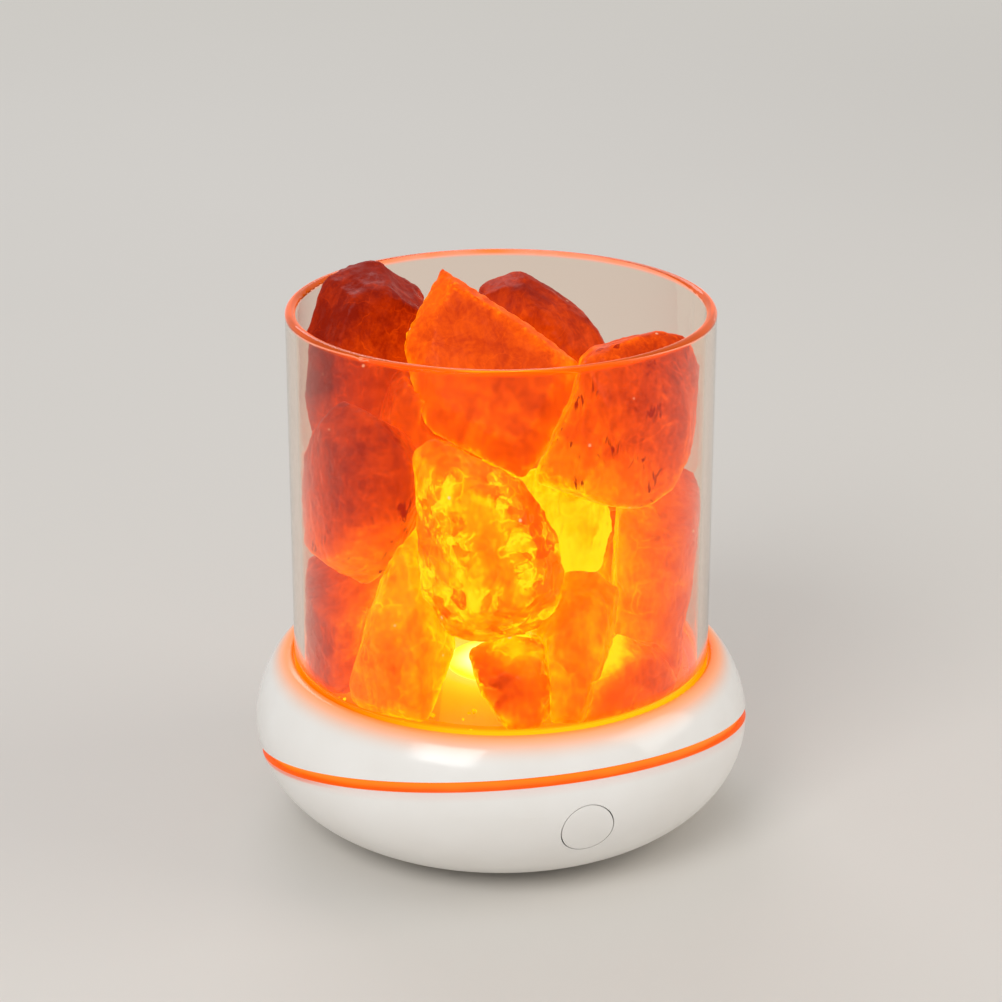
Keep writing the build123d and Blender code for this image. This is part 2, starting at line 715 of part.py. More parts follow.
# ---------- the heap of salt ----------
# Each lump has its widest outline on a plane of its own: centre (right, away, up from the
# cup's floor) as seen from the heap's front, a turn about the upright and a lean backwards.
# It tapers from that outline to a smaller facet in front and another behind, which skew
# moves sideways and upwards in front, and the other way behind.
# The front lumps come first, and each later lump makes room for those before it.
lumps = {
    "salt_front_middle": dict(
        centre=(-3, -32, 39.2), turn=0, lean=6, front=9, back=11, skew=(1, 1),
        outline=[(-10.5, 23), (-15.5, 20), (-15, 6.5), (-13.5, -11), (-8, -20.5), (-5, -22), (1.5, -22),
                 (9.5, -20), (15, -14), (16.5, -6), (15, 0), (9.5, 12), (3, 16)]),
    "salt_left_front": dict(
        centre=(-29, -20, 45.2), turn=-35, lean=-4, front=9, back=11, skew=(-2, 1),
        outline=[(-4.5, 21), (-11, 13.5), (-17.5, -4), (-13, -16), (-6.5, -20.5), (0, -21.5), (6, -16),
                 (14, 2), (13.5, 9.5), (5, 18.5)]),
    "salt_front_low": dict(
        centre=(3, -35, 6.2), turn=-4, lean=8, front=7, back=10, skew=(0, -2),
        outline=[(-10.5, 9), (-9, 2), (-2, -8), (7, -8), (8, 2), (5.5, 12), (-3, 13)]),
    "salt_front_right": dict(
        centre=(12, -27, 13.2), turn=8, lean=22, front=9, back=10, skew=(0, -2),
        outline=[(-6, 4), (-4.5, -19), (4, -19), (10, -6), (13, 4.5), (14, 12), (10, 16), (2, 16.5)]),
    "salt_right_low": dict(
        centre=(24, -31, 6.2), turn=32, lean=6, front=8, back=10, skew=(1, -2),
        outline=[(-11, 5), (-4, 9.5), (2, 11), (11, 6), (16, -4), (12, -9), (-14, -9)]),
    "salt_left_slab": dict(
        centre=(-20, -26, 19.2), turn=-18, lean=26, front=8, back=9, skew=(0, -3),
        outline=[(-3, 27), (-5.5, 14), (-11, -14), (-10, -22), (8, -22), (12, -4), (8.5, 7), (2, 25)]),
    "salt_left_low": dict(
        centre=(-31, -13, 15.2), turn=-50, lean=2, front=12, back=13, skew=(-1, -4), share=0.75,
        outline=[(-18.5, 8), (0, 10), (15, 8), (11, -5), (7, -19), (-17, -19), (-21, -3.5)]),
    "salt_right_tall": dict(
        centre=(32, -13, 23.2), turn=45, lean=2, front=11, back=12, skew=(1, -2), share=0.75,
        outline=[(2.5, 24), (13, 22), (15.5, 15), (14, 1.5), (11, -15), (9, -26), (-8, -26),
                 (-12, -11), (-11, 1.5), (-8, 16)]),
    "salt_top_wedge": dict(
        centre=(-1, -6, 67.2), turn=0, lean=34, front=4, back=12, skew=(0, 1), share=0.75,
        outline=[(-12, 24), (-20, 8.5), (-19.5, 2), (-15, -12), (6.5, -23.5), (10.5, -18), (19, -2.5),
                 (17.5, 3), (7.5, 11)]),
    "salt_right_top": dict(
        centre=(27, -13, 55.2), turn=24, lean=-4, front=10, back=15, skew=(-2, -2),
        outline=[(-11.5, 19), (-7.5, 21.5), (7, 23.5), (12.5, 21.5), (16, 15), (16, -0.5), (11.5, -10.5),
                 (2, -16.5), (-11, -12.5), (-22.5, -6), (-14, 9)]),
    "salt_middle_hot": dict(
        centre=(13, -8, 31.2), turn=0, lean=0, front=7, back=14, skew=(1, 0), share=0.7,
        outline=[(-11, 14), (-2, 16), (11, 12), (13.5, -0.5), (10, -10), (-2, -11), (-8.5, -5)]),
    "salt_left_middle": dict(
        centre=(-15, -3, 51.2), turn=-5, lean=6, front=10, back=12, skew=(-1, 1), share=0.7,
        outline=[(-8.5, 15), (-4.5, 18), (6, 12), (9, -2), (4, -14), (-9, -14), (-13, 0)]),
    "salt_back_middle": dict(
        centre=(8, 20, 67.2), turn=-12, lean=14, front=9, back=14, skew=(-2, 0), share=0.7,
        outline=[(-14, 11.5), (-7, 14.5), (-2.5, 14.5), (8.5, 7.5), (13.5, 2.5), (16, -2), (15, -15),
                 (-12, -16)]),
    "salt_back_left": dict(
        centre=(-29, 14, 61.2), turn=32, lean=8, front=12, back=14, skew=(-3, 2), share=0.7,
        outline=[(-18.5, -3), (-16.5, 7.5), (-9, 22.5), (-2, 25), (5, 24), (15.5, 16), (14, -13),
                 (2, -25), (-14, -22)]),
    "salt_back_left_low": dict(
        centre=(-26, 19, 17), turn=-127, lean=6, front=13, back=12, skew=(3, -2), share=0.7,
        outline=[(-15, 12), (-3, 18), (12, 13), (17, -3), (13, -17), (-13, -17), (-18, -4)]),
    "salt_back_low": dict(
        centre=(4, 28, 16), turn=172, lean=4, front=14, back=12, skew=(-3, -3), share=0.7,
        outline=[(-13, 11), (-1, 19), (11, 14), (15, -4), (11, -17), (-13, -17), (-16, 0)]),
    "salt_back_right_low": dict(
        centre=(28, 15, 17), turn=119, lean=5, front=14, back=12, skew=(2, -3), share=0.7,
        outline=[(-14, 12), (2, 20), (13, 14), (17, -5), (12, -18), (-15, -18), (-17, -2)]),
    "salt_left_back": dict(
        centre=(-32, 8, 33), turn=-104, lean=-4, front=12, back=13, skew=(-2, 2), share=0.7,
        outline=[(-13, 9), (0, 16), (13, 11), (16, -5), (4, -16), (-12, -12)]),
    "salt_right_back": dict(
        centre=(26, 17, 46), turn=123, lean=8, front=14, back=14, skew=(3, 1), share=0.7,
        outline=[(-15, 9), (-3, 18), (12, 13), (16, -4), (5, -16), (-10, -15), (-16, -4)]),
    "salt_back_high": dict(
        centre=(-2, 27, 46), turn=178, lean=8, front=14, back=13, skew=(-2, -3), share=0.7,
        outline=[(-13, 8), (-4, 17), (12, 14), (18, -1), (9, -15), (-8, -17), (-16, -5)]),
    "salt_core": dict(
        centre=(-3, 8, 24), turn=12, lean=-6, front=7, back=10,
        outline=[(-11, 16), (2, 22), (11, 15), (13, -8), (8, -25), (-8, -25), (-12, -4)]),
}

heap_scale = (cup_inside - stone_clearance) / heap_radius
heap_axes = Plane(origin=(0, 0, cup_floor_top), x_dir=Vector(1, 0, 0).rotate(Axis.Z, heap_turn))
with BuildPart() as heap_room:
    add(column(cup_inside - stone_clearance, cup_floor_top + stone_clearance / 2, rim_height + cup_length))
    fillet(heap_room.edges().filter_by(GeomType.CIRCLE).sort_by(Axis.Z)[0], inner_round)


def salt_lump(centre, turn, lean, front, back, outline, skew=(0, 0), share=stone_face_share, spare=0.0):
    """A lump of salt as a faceted solid; spare widens it all round, to cut room for it."""
    right, away, up = (heap_scale * value for value in centre)
    middle = heap_axes.location * Pos(right, away, up) * Rot(0, 0, turn) * Rot(90 - lean, 0, 0)
    face = Plane(middle)
    with BuildPart() as lump:
        for depth, size, shift in ((front, share, 1), (0, 1, 0), (-back, share, -1)):
            grown = heap_scale * depth + spare * shift
            corners = [
                (heap_scale * (size * x + shift * skew[0]), heap_scale * (size * y + shift * skew[1]))
                for x, y in outline
            ]
            with BuildSketch(face.offset(grown)):
                with BuildLine():
                    Polyline(corners, close=True)
                make_face()
                if spare:
                    offset(amount=spare, kind=Kind.INTERSECTION)
        loft(ruled=True)
    return lump.part


neighbours = []
for name, shape in lumps.items():
    with BuildPart() as stone:
        add(salt_lump(**shape))
        add(heap_room.part, mode=Mode.INTERSECT)
        for neighbour in neighbours:
            add(neighbour, mode=Mode.SUBTRACT)
    largest = stone.part.solids().sort_by(SortBy.VOLUME)[-1]
    with BuildPart() as whole:
        add(largest)
    save(whole, name)
    neighbours.append(salt_lump(**shape, spare=stone_gap))
    print(f"{name}: {len(stone.part.solids())} piece(s), {largest.volume / 1000:.1f} cm3")
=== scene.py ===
import math
import random

import bmesh
import bpy
import numpy as np
from mathutils import Matrix, Vector, noise
from mathutils.bvhtree import BVHTree


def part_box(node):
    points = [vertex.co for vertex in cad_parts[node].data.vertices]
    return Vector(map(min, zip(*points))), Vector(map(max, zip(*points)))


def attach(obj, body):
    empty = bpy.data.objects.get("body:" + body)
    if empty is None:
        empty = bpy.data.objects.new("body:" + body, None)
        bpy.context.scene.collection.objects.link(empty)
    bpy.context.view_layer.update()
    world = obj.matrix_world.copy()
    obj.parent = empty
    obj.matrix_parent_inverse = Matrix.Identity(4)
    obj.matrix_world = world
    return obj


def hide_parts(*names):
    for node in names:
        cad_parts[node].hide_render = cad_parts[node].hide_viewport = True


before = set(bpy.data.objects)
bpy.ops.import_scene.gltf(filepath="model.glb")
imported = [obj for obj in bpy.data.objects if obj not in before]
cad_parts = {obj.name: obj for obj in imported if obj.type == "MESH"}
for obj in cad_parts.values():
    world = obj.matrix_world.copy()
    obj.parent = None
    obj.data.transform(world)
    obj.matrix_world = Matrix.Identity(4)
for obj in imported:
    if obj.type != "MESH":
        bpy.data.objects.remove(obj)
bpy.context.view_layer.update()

mm = 0.001
print("frame loaded:", len(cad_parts), "nodes")

# the camera stands a little above the glass, turned to the left of the button
cameraView = {
    "turn": -19.5,          # degrees round the lamp, from the button's side
    "distance": 566.1 * mm,
    "height": 285.9 * mm,
    "pitch": 20.63,         # degrees below the horizon
    "lens": 99.13,
    "sensor": 36.0,
}
viewTurn = math.radians(cameraView["turn"])
viewPitch = math.radians(cameraView["pitch"])
cameraData = bpy.data.cameras.new("camera")
cameraData.lens = cameraView["lens"]
cameraData.sensor_width = cameraView["sensor"]
camera = bpy.data.objects.new("camera", cameraData)
camera.location = (
    math.sin(viewTurn) * cameraView["distance"],
    -math.cos(viewTurn) * cameraView["distance"],
    cameraView["height"],
)
camera.rotation_euler = (math.radians(90 - cameraView["pitch"]), 0, viewTurn)
bpy.context.scene.collection.objects.link(camera)
bpy.context.scene.camera = camera
bpy.context.scene.view_settings.view_transform = "Standard"


def linear(code):
    # sRGB hex to linear red, green, blue and an alpha of 1
    channels = [int(code[i:i + 2], 16) / 255 for i in (1, 3, 5)]
    return [c / 12.92 if c <= 0.04045 else ((c + 0.055) / 1.055) ** 2.4 for c in channels] + [1.0]


def addNode(tree, kind, settings=None, links=None):
    # one node: settings are the node's own options or sockets by name, links are sockets by name or place
    node = tree.nodes.new(kind)
    for key, value in (settings or {}).items():
        if hasattr(node, key) and key not in node.inputs:
            setattr(node, key, value)
        else:
            node.inputs[key].default_value = value
    for key, source in (links or {}).items():
        tree.links.new(source, node.inputs[key])
    return node


def newMaterial(name, settings):
    # an empty material with its shader: what is alike all over sits on the shader's own sockets
    material = bpy.data.materials.new(name)
    material.use_nodes = True
    tree = material.node_tree
    tree.nodes.clear()
    shader = addNode(tree, "ShaderNodeBsdfPrincipled", settings)
    output = addNode(tree, "ShaderNodeOutputMaterial")
    tree.links.new(shader.outputs["BSDF"], output.inputs["Surface"])
    coords = addNode(tree, "ShaderNodeTexCoord").outputs["Object"]
    return material, tree, shader, coords


def compute(tree, operation, *values, clamp=False):
    # numbers or sockets through one Math node
    node = addNode(tree, "ShaderNodeMath", {"operation": operation, "use_clamp": clamp})
    for place, value in enumerate(values):
        if isinstance(value, (int, float)):
            node.inputs[place].default_value = value
        else:
            tree.links.new(value, node.inputs[place])
    return node.outputs[0]


def product(tree, first, *others):
    # several numbers or sockets multiplied together
    for other in others:
        first = compute(tree, "MULTIPLY", first, other)
    return first


def spread(tree, value, low, high, toLow=0.0, toHigh=1.0):
    # a value between low and high, eased, to a range of its own
    settings = {"interpolation_type": "SMOOTHSTEP", "From Min": low, "From Max": high,
                "To Min": toLow, "To Max": toHigh}
    return addNode(tree, "ShaderNodeMapRange", settings, {"Value": value}).outputs["Result"]


noiseBand = (0.3, 0.7)       # nearly all of a noise's values lie between these


def around(tree, value, width):
    # noise to a change this wide, half of it down and half up
    return spread(tree, value, *noiseBand, -width / 2, width / 2)


def ramp(tree, value, stops):
    # colours along a value, as (place, hex)
    node = addNode(tree, "ShaderNodeValToRGB", None, {"Fac": value})
    while len(node.color_ramp.elements) < len(stops):
        node.color_ramp.elements.new(1.0)
    for element, (place, code) in zip(node.color_ramp.elements, stops):
        element.position = place
        element.color = linear(code)
    return node.outputs["Color"]


def blendColours(tree, share, first, second):
    # a colour or socket changes to another as share goes from 0 to 1
    node = addNode(tree, "ShaderNodeMix", {"data_type": "RGBA"})
    for place, value in ((0, share), (6, first), (7, second)):
        if isinstance(value, str):
            node.inputs[place].default_value = linear(value)
        else:
            tree.links.new(value, node.inputs[place])
    return node.outputs[2]


def grain(tree, coords, size, detail=3.0, roughness=0.5, distortion=0.0):
    # noise whose blobs are about this many metres across
    settings = {"Scale": 1 / size, "Detail": detail, "Roughness": roughness, "Distortion": distortion}
    return addNode(tree, "ShaderNodeTexNoise", settings, {"Vector": coords}).outputs["Fac"]


def tones(tree, coords, size, dark, light, detail=3.0):
    # a colour that wanders between two tones, in patches about this many metres across
    return ramp(tree, grain(tree, coords, size, detail), list(zip(noiseBand, (dark, light))))


def bump(tree, shader, height, depth):
    # depth is the real height of the relief, in metres
    node = addNode(tree, "ShaderNodeBump", {"Strength": 1.0, "Distance": depth}, {"Height": height})
    tree.links.new(node.outputs["Normal"], shader.inputs["Normal"])


def places(tree, coords):
    # distance from the lamp's upright axis, height, and depth towards the back
    parts = addNode(tree, "ShaderNodeSeparateXYZ", None, {"Vector": coords}).outputs
    across, along = (product(tree, parts[axis], parts[axis]) for axis in ("X", "Y"))
    return compute(tree, "SQRT", compute(tree, "ADD", across, along)), parts["Z"], parts["Y"]


# the lamp's own measures, most of them read from the frame
cupLow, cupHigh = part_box("glass_cup")
cupRadius = cupHigh.x
cupWall = 2.25 * mm
cupFloor = 3.0 * mm
cupInside = cupRadius - cupWall
saltFloor = cupLow.z + cupFloor
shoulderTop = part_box("upper_housing")[1].z
lampSpot = Vector((0, 0, saltFloor))
heapAxes = Matrix.Rotation(viewTurn, 3, "Z")   # columns: right, away and up as seen from the camera

# the slanted strip of light: its rise towards the button, the height of its ledge on the lamp's axis,
# how high it is, and the radii between which the outer wall begins
seam = {"slope": 0.205, "ledge": 18.8 * mm, "gap": 2.1 * mm, "outside": (40 * mm, 44 * mm)}


def overSeam(tree, height, depth):
    # height above the slanted plane that runs through the origin
    return compute(tree, "ADD", height, product(tree, depth, seam["slope"]))


def mouldedAbs(name, look):
    # ABS, injection moulded: warm white, faint wipe marks in the gloss, and the relief of its tool
    material, tree, shader, coords = newMaterial(name, {"IOR": 1.54, "Emission Strength": 1.0})
    wipes = grain(tree, coords, look["wipes"], 4.0, 0.6)
    tree.links.new(spread(tree, wipes, 0.3, 0.75, *look["gloss"]), shader.inputs["Roughness"])
    bump(tree, shader, grain(tree, coords, look["ripple"], look["rippleDetail"]), look["relief"])
    tone = tones(tree, coords, look["patches"], "#EEEBE6", "#F2F0EC", 2.0)
    return material, tree, shader, coords, tone


polishedLook = {
    "wipes": 5 * mm, "gloss": (0.12, 0.22), "patches": 14 * mm,
    "ripple": 2.6 * mm, "rippleDetail": 1.0, "relief": 0.012 * mm,
    # where the light in the well starts and where it is full: outside the glass, under the shoulder's
    # top and over the glass's foot
    "wellWall": (0.5 * mm, 0.25 * mm), "wellTop": (0.0, -1.0 * mm), "wellFoot": (-4 * mm, -2 * mm),
    # its colours from the lamp's axis to the glass's wall
    "well": [(0.0, "#FFF3B0"), (0.27, "#FFD21A"), (0.45, "#FF9A00"), (0.75, "#F06000"), (1.0, "#BE4200")],
    # the lip round the glass, in the same way
    "lipReach": (8.0 * mm, 0.3 * mm), "lipDrop": (-5 * mm, -0.5 * mm), "lipStrength": 0.95, "lipGlow": 0.6,
    "lip": "#C84600", "lipPaintedLightTint": "#FF9A2C",
}


def polishedAbs():
    # ABS from a polished tool: glossy, with a faint orange-peel ripple. The lamp's light on the floor of its
    # well and on the lip round the glass is painted light: an orange glow, and an orange base colour on the
    # lip.
    look = polishedLook
    material, tree, shader, coords, tone = mouldedAbs("polishedAbs", look)
    radius, height, _ = places(tree, coords)
    inside = product(
        tree,
        spread(tree, radius, *[cupRadius + reach for reach in look["wellWall"]]),
        spread(tree, height, *[shoulderTop + rise for rise in look["wellTop"]]),
        spread(tree, height, *[cupLow.z + rise for rise in look["wellFoot"]]),
    )
    wellColour = ramp(tree, spread(tree, radius, 0.0, cupRadius), look["well"])
    lip = product(
        tree,
        spread(tree, radius, *[cupRadius + reach for reach in look["lipReach"]]),
        spread(tree, height, *[shoulderTop + rise for rise in look["lipDrop"]]),
        look["lipStrength"],
    )
    # painted light: the lip and the well's floor glow orange, and the lip's base colour turns orange
    lipColour = blendColours(tree, product(tree, lip, lip, look["lipGlow"]), "#000000", look["lip"])
    tree.links.new(blendColours(tree, inside, lipColour, wellColour), shader.inputs["Emission Color"])
    tree.links.new(blendColours(tree, lip, tone, look["lipPaintedLightTint"]), shader.inputs["Base Color"])
    return material


satinLook = {
    "wipes": 4 * mm, "gloss": (0.3, 0.4), "patches": 16 * mm,
    # a real eroded finish is about 0.05 mm coarse; it is drawn at 0.4 mm so that it shows
    "ripple": 0.4 * mm, "rippleDetail": 2.0, "relief": 0.006 * mm,
    # against the ledge, where the light starts and where it is full: the ledge itself, the wall below
    # it, and the rounded edge between them, which is lit where the lamp is seen from the side
    "ledge": (-0.12 * mm, -0.02 * mm), "bleed": (-2.6 * mm, 0.0), "edge": (-1.3 * mm, -0.5 * mm),
    "bleedStrength": 0.16, "edgeDepth": (36 * mm, 14 * mm), "edgeStrength": 0.75,
    "glow": "#B83C00", "paintedLightTint": "#B4501C",
}


def satinAbs(name="satinAbs"):
    # ABS from a finely eroded tool: satin. Where the strip of light shines on the slanted ledge under it,
    # its
    # light is painted in: an orange glow, and an orange base colour.
    look = satinLook
    material, tree, shader, coords, tone = mouldedAbs(name, look)
    radius, height, depth = places(tree, coords)
    over = overSeam(tree, height, depth)
    ledge, bleed, edge = (
        [seam["ledge"] + rise for rise in look[part]] for part in ("ledge", "bleed", "edge"))
    outside = spread(tree, radius, *seam["outside"])
    lit = product(tree, spread(tree, over, *ledge), outside)
    below = product(tree, spread(tree, over, *bleed, 0.0, look["bleedStrength"]), outside)
    sideways = spread(tree, compute(tree, "ABSOLUTE", depth), *look["edgeDepth"], 0.0, look["edgeStrength"])
    rounded = product(tree, spread(tree, over, *edge), sideways, outside)
    glow = compute(tree, "MAXIMUM", compute(tree, "MAXIMUM", lit, below), rounded)
    # painted light: where the strip's light falls on the ledge, the wall below it and the rounded edge, they
    # glow orange and their base colour turns orange
    tree.links.new(blendColours(tree, glow, "#000000", look["glow"]), shader.inputs["Emission Color"])
    tree.links.new(blendColours(tree, glow, tone, look["paintedLightTint"]), shader.inputs["Base Color"])
    return material


opalIor = 1.58
ringLook = {
    "patches": 9 * mm, "dark": "#5E2204", "light": "#682806",
    "strip": [(0.0, "#E85C00"), (0.35, "#FF7A02"), (0.75, "#FF8206"), (1.0, "#F46A00")],   # bottom to top
    "paleSize": 7 * mm, "paleBand": (0.3, 0.8), "paleShare": 0.35, "pale": "#FF8810",
    "grainSize": 0.5 * mm, "relief": 0.004 * mm,
}


def milkyRing():
    # opal polycarbonate, lit from behind by the ring of diodes: even orange, a little paler in the middle
    look = ringLook
    material, tree, shader, coords = newMaterial("opalRing", {
        "IOR": opalIor, "Specular IOR Level": 0.25, "Roughness": 0.32, "Emission Strength": 1.0,
    })
    tree.links.new(tones(tree, coords, look["patches"], look["dark"], look["light"]),
                   shader.inputs["Base Color"])
    _, height, depth = places(tree, coords)
    share = spread(tree, overSeam(tree, height, depth), seam["ledge"], seam["ledge"] + seam["gap"])
    paler = grain(tree, coords, look["paleSize"], 1.0)
    paler = spread(tree, paler, *look["paleBand"], 0.0, look["paleShare"])
    tree.links.new(blendColours(tree, paler, ramp(tree, share, look["strip"]), look["pale"]),
                   shader.inputs["Emission Color"])
    bump(tree, shader, grain(tree, coords, look["grainSize"], 2.0), look["relief"])
    return material


windowLook = {
    "unevenSize": 6 * mm, "uneven": 2.5 * mm, "reach": (3 * mm, 13.5 * mm), "base": "#F4E7CE",
    "spot": [(0.0, "#FFF6DC"), (0.55, "#FFE9A0"), (1.0, "#F7A81C")],    # middle to edge
}


def milkyWindow():
    # opal polycarbonate window over the main diodes, almost white with light
    look = windowLook
    material, tree, shader, coords = newMaterial("opalWindow", {
        "IOR": opalIor, "Roughness": 0.35, "Emission Strength": 3.0, "Base Color": linear(look["base"]),
    })
    uneven = product(tree, grain(tree, coords, look["unevenSize"], 1.0), look["uneven"])
    share = spread(tree, compute(tree, "ADD", places(tree, coords)[0], uneven), *look["reach"])
    tree.links.new(ramp(tree, share, look["spot"]), shader.inputs["Emission Color"])
    return material


glassLook = {
    # where the light in the wall starts and where it is full: under the rim, then at the foot, against
    # the shoulder's top, the glass's underside and the glass's outside
    "rim": (-1.5 * mm, -0.5 * mm), "footTop": (1.3 * mm, 0.3 * mm), "footBottom": (1.5 * mm, 3.0 * mm),
    "footWall": (-1.0 * mm, -0.4 * mm),
    "patches": 16 * mm, "faintest": 0.75, "rimGlow": "#E65800",
    "footDepth": (-46 * mm, -14 * mm), "foot": [(0.0, "#FFBE10"), (0.5, "#FF9204"), (1.0, "#FF6A02")],
    "clear": "#FFEEE0", "lit": "#D25008",
}


def clearGlass():
    # soda-lime glass, drawn and fire-polished; its faintly warm colour is painted light from the lamp. The
    # light that the wall carries up to the rim and spills where the glass enters the base is painted in as
    # orange glow.
    look = glassLook
    material, tree, shader, coords = newMaterial("sodaLimeGlass", {
        "IOR": 1.5, "Transmission Weight": 1.0, "Roughness": 0.0, "Emission Strength": 1.0,
        "Specular Tint": linear("#56504C"),
    })
    radius, height, depth = places(tree, coords)
    patchy = spread(tree, grain(tree, coords, look["patches"], 2.0), *noiseBand, look["faintest"], 1.0)
    rim = product(tree, spread(tree, height, *[cupHigh.z + rise for rise in look["rim"]]), patchy)
    foot = product(
        tree,
        spread(tree, height, *[shoulderTop + rise for rise in look["footTop"]]),
        spread(tree, height, *[cupLow.z + rise for rise in look["footBottom"]]),
        spread(tree, radius, *[cupRadius + reach for reach in look["footWall"]]),
    )
    # painted light: the rim and the foot glow orange, and their base colour turns orange
    footColour = ramp(tree, spread(tree, depth, *look["footDepth"]), look["foot"])
    rimColour = blendColours(tree, rim, "#000000", look["rimGlow"])
    tree.links.new(blendColours(tree, foot, rimColour, footColour), shader.inputs["Emission Color"])
    tree.links.new(blendColours(tree, compute(tree, "MAXIMUM", rim, foot), look["clear"], look["lit"]),
                   shader.inputs["Base Color"])
    return material


plainFinishes = {
    # name: two tones, roughness range, grain of the tone, relief size and depth (mm), metallic
    "whiteSolderMask": ("#E9E8E2", "#F1F0EB", 0.28, 0.4, 6.0, 1.2, 0.01, 0.0),  # white lacquer on a board
    "greenSolderMask": ("#0F5A2C", "#17693A", 0.25, 0.38, 5.0, 1.2, 0.01, 0.0),  # green lacquer on a board
    "zincPlatedSteel": ("#B9BBBD", "#CBCDD0", 0.26, 0.42, 1.2, 0.5, 0.01, 1.0),  # cold-headed screws
    "stainlessSheet": ("#C3C4C5", "#D0D1D2", 0.22, 0.34, 1.5, 0.6, 0.008, 1.0),  # the socket's pressed shell
    "blackNylon": ("#151516", "#1D1D1F", 0.45, 0.6, 2.0, 0.4, 0.02, 0.0),  # moulded, slightly grainy
    "redNylon": ("#A51A12", "#B4241A", 0.4, 0.52, 2.0, 0.4, 0.02, 0.0),  # the switch's plunger
    "whiteNylon": ("#E6E3D8", "#EEEBE2", 0.4, 0.5, 2.0, 0.4, 0.02, 0.0),  # battery socket
    "blackEpoxy": ("#121213", "#191A1B", 0.5, 0.65, 1.0, 0.3, 0.015, 0.0),  # moulded chip packages
    "firedCeramic": ("#9C8263", "#AE936F", 0.35, 0.5, 0.8, 0.3, 0.01, 0.0),  # capacitors
    "shrinkFilm": ("#1C5690", "#235F9B", 0.18, 0.28, 9.0, 4.0, 0.02, 0.0),  # PVC film round the cell
    "wireInsulation": ("#9E1F17", "#AB2A20", 0.35, 0.45, 3.0, 1.0, 0.01, 0.0),  # extruded soft PVC
    "reflectorWhite": ("#F3F2EE", "#F8F7F4", 0.3, 0.4, 6.0, 0.8, 0.006, 0.0),  # moulded ABS, bright white
    "greyRubber": ("#55565A", "#616266", 0.7, 0.85, 4.0, 0.5, 0.05, 0.0),  # non-slip pad, cut from sheet
    "openFoam": ("#2E2F33", "#3C3D42", 0.85, 0.95, 0.8, 0.5, 0.12, 0.0),  # polyurethane foam
}


def plainFinish(name):
    # a real but simple finish: two close tones, uneven gloss and its own fine relief
    dark, light, smooth, rough, toneSize, reliefSize, depth, metallic = plainFinishes[name]
    material, tree, shader, coords = newMaterial(name, {"Metallic": metallic})
    tree.links.new(tones(tree, coords, toneSize * mm, dark, light), shader.inputs["Base Color"])
    gloss = grain(tree, coords, toneSize * 0.6 * mm)
    tree.links.new(spread(tree, gloss, *noiseBand, smooth, rough), shader.inputs["Roughness"])
    bump(tree, shader, grain(tree, coords, reliefSize * mm), depth * mm)
    return material


def litPhosphor():
    # silicone over yellow phosphor, lit: the diodes themselves
    material, tree, shader, coords = newMaterial("litPhosphor", {"Roughness": 0.3, "Emission Strength": 2.0})
    colour = tones(tree, coords, 0.6 * mm, "#FFD46A", "#FFE08C")
    tree.links.new(colour, shader.inputs["Base Color"])
    tree.links.new(colour, shader.inputs["Emission Color"])
    return material


siliconeLook = {
    # painted light: the two orange tones of the clear silicone stand for the well's light in it
    "patches": 5 * mm, "dark": "#C46A24", "light": "#CE742C",
    "reach": (34 * mm, 43 * mm), "glow": [(0.0, "#FF9A10"), (1.0, "#E66400")],    # inner to outer edge
    "glossSize": 3 * mm, "gloss": (0.55, 0.7), "grainSize": 0.5 * mm, "relief": 0.01 * mm,
}


def litSilicone():
    # clear silicone ring under the glass, moulded; the well's light in it is painted in: orange colour and
    # glow
    look = siliconeLook
    material, tree, shader, coords = newMaterial("litSilicone", {"Emission Strength": 1.0})
    tree.links.new(tones(tree, coords, look["patches"], look["dark"], look["light"]),
                   shader.inputs["Base Color"])
    tree.links.new(ramp(tree, spread(tree, places(tree, coords)[0], *look["reach"]), look["glow"]),
                   shader.inputs["Emission Color"])
    tree.links.new(spread(tree, grain(tree, coords, look["glossSize"]), *noiseBand, *look["gloss"]),
                   shader.inputs["Roughness"])
    bump(tree, shader, grain(tree, coords, look["grainSize"]), look["relief"])
    return material


print("plastics, glass and small finishes ready")

# the glow's colour by its heat: deep red where little light comes through, yellow near the lamp
heatStops = [
    (0.0, "#841000"), (0.14, "#A82200"), (0.3, "#D23A00"), (0.44, "#F05000"), (0.56, "#FF6800"),
    (0.68, "#FF8400"), (0.8, "#FFAA00"), (0.9, "#FFD400"), (1.0, "#FFF018"),
]
saltKinds = {
    # cloud, streak, flake, flare, crack and sugar (single crystals): how much each changes the heat;
    # crackle: how broken the light on the edges is; speck: red inclusions; glint: painted highlights of tiny
    # mirror-flat crystal faces; relief in mm
    "plainSalt": {
        "cloud": 0.14, "streak": 0.07, "flake": 0.04, "flare": 0.0, "crack": 0.1, "sugar": 0.03,
        "crackle": 0.6, "speck": 0.25, "glint": 0.5, "relief": 0.08, "gloss": (0.26, 0.5),
    },
    "glassySalt": {
        "cloud": 0.2, "streak": 0.08, "flake": 0.24, "flare": 0.2, "crack": 0.14, "sugar": 0.03,
        "crackle": 0.8, "speck": 0.15, "glint": 0.7, "relief": 0.07, "gloss": (0.1, 0.32),
    },
    "frostedSalt": {
        "cloud": 0.18, "streak": 0.08, "flake": 0.0, "flare": 0.0, "crack": 0.05, "sugar": 0.015,
        "crackle": 1.0, "speck": 0.08, "glint": 0.5, "relief": 0.03, "gloss": (0.36, 0.55),
    },
    "veinedSalt": {
        "cloud": 0.13, "streak": 0.08, "flake": 0.04, "flare": 0.0, "crack": 0.08, "sugar": 0.03,
        "crackle": 0.6, "speck": 1.0, "glint": 0.5, "relief": 0.1, "gloss": (0.28, 0.5),
    },
}


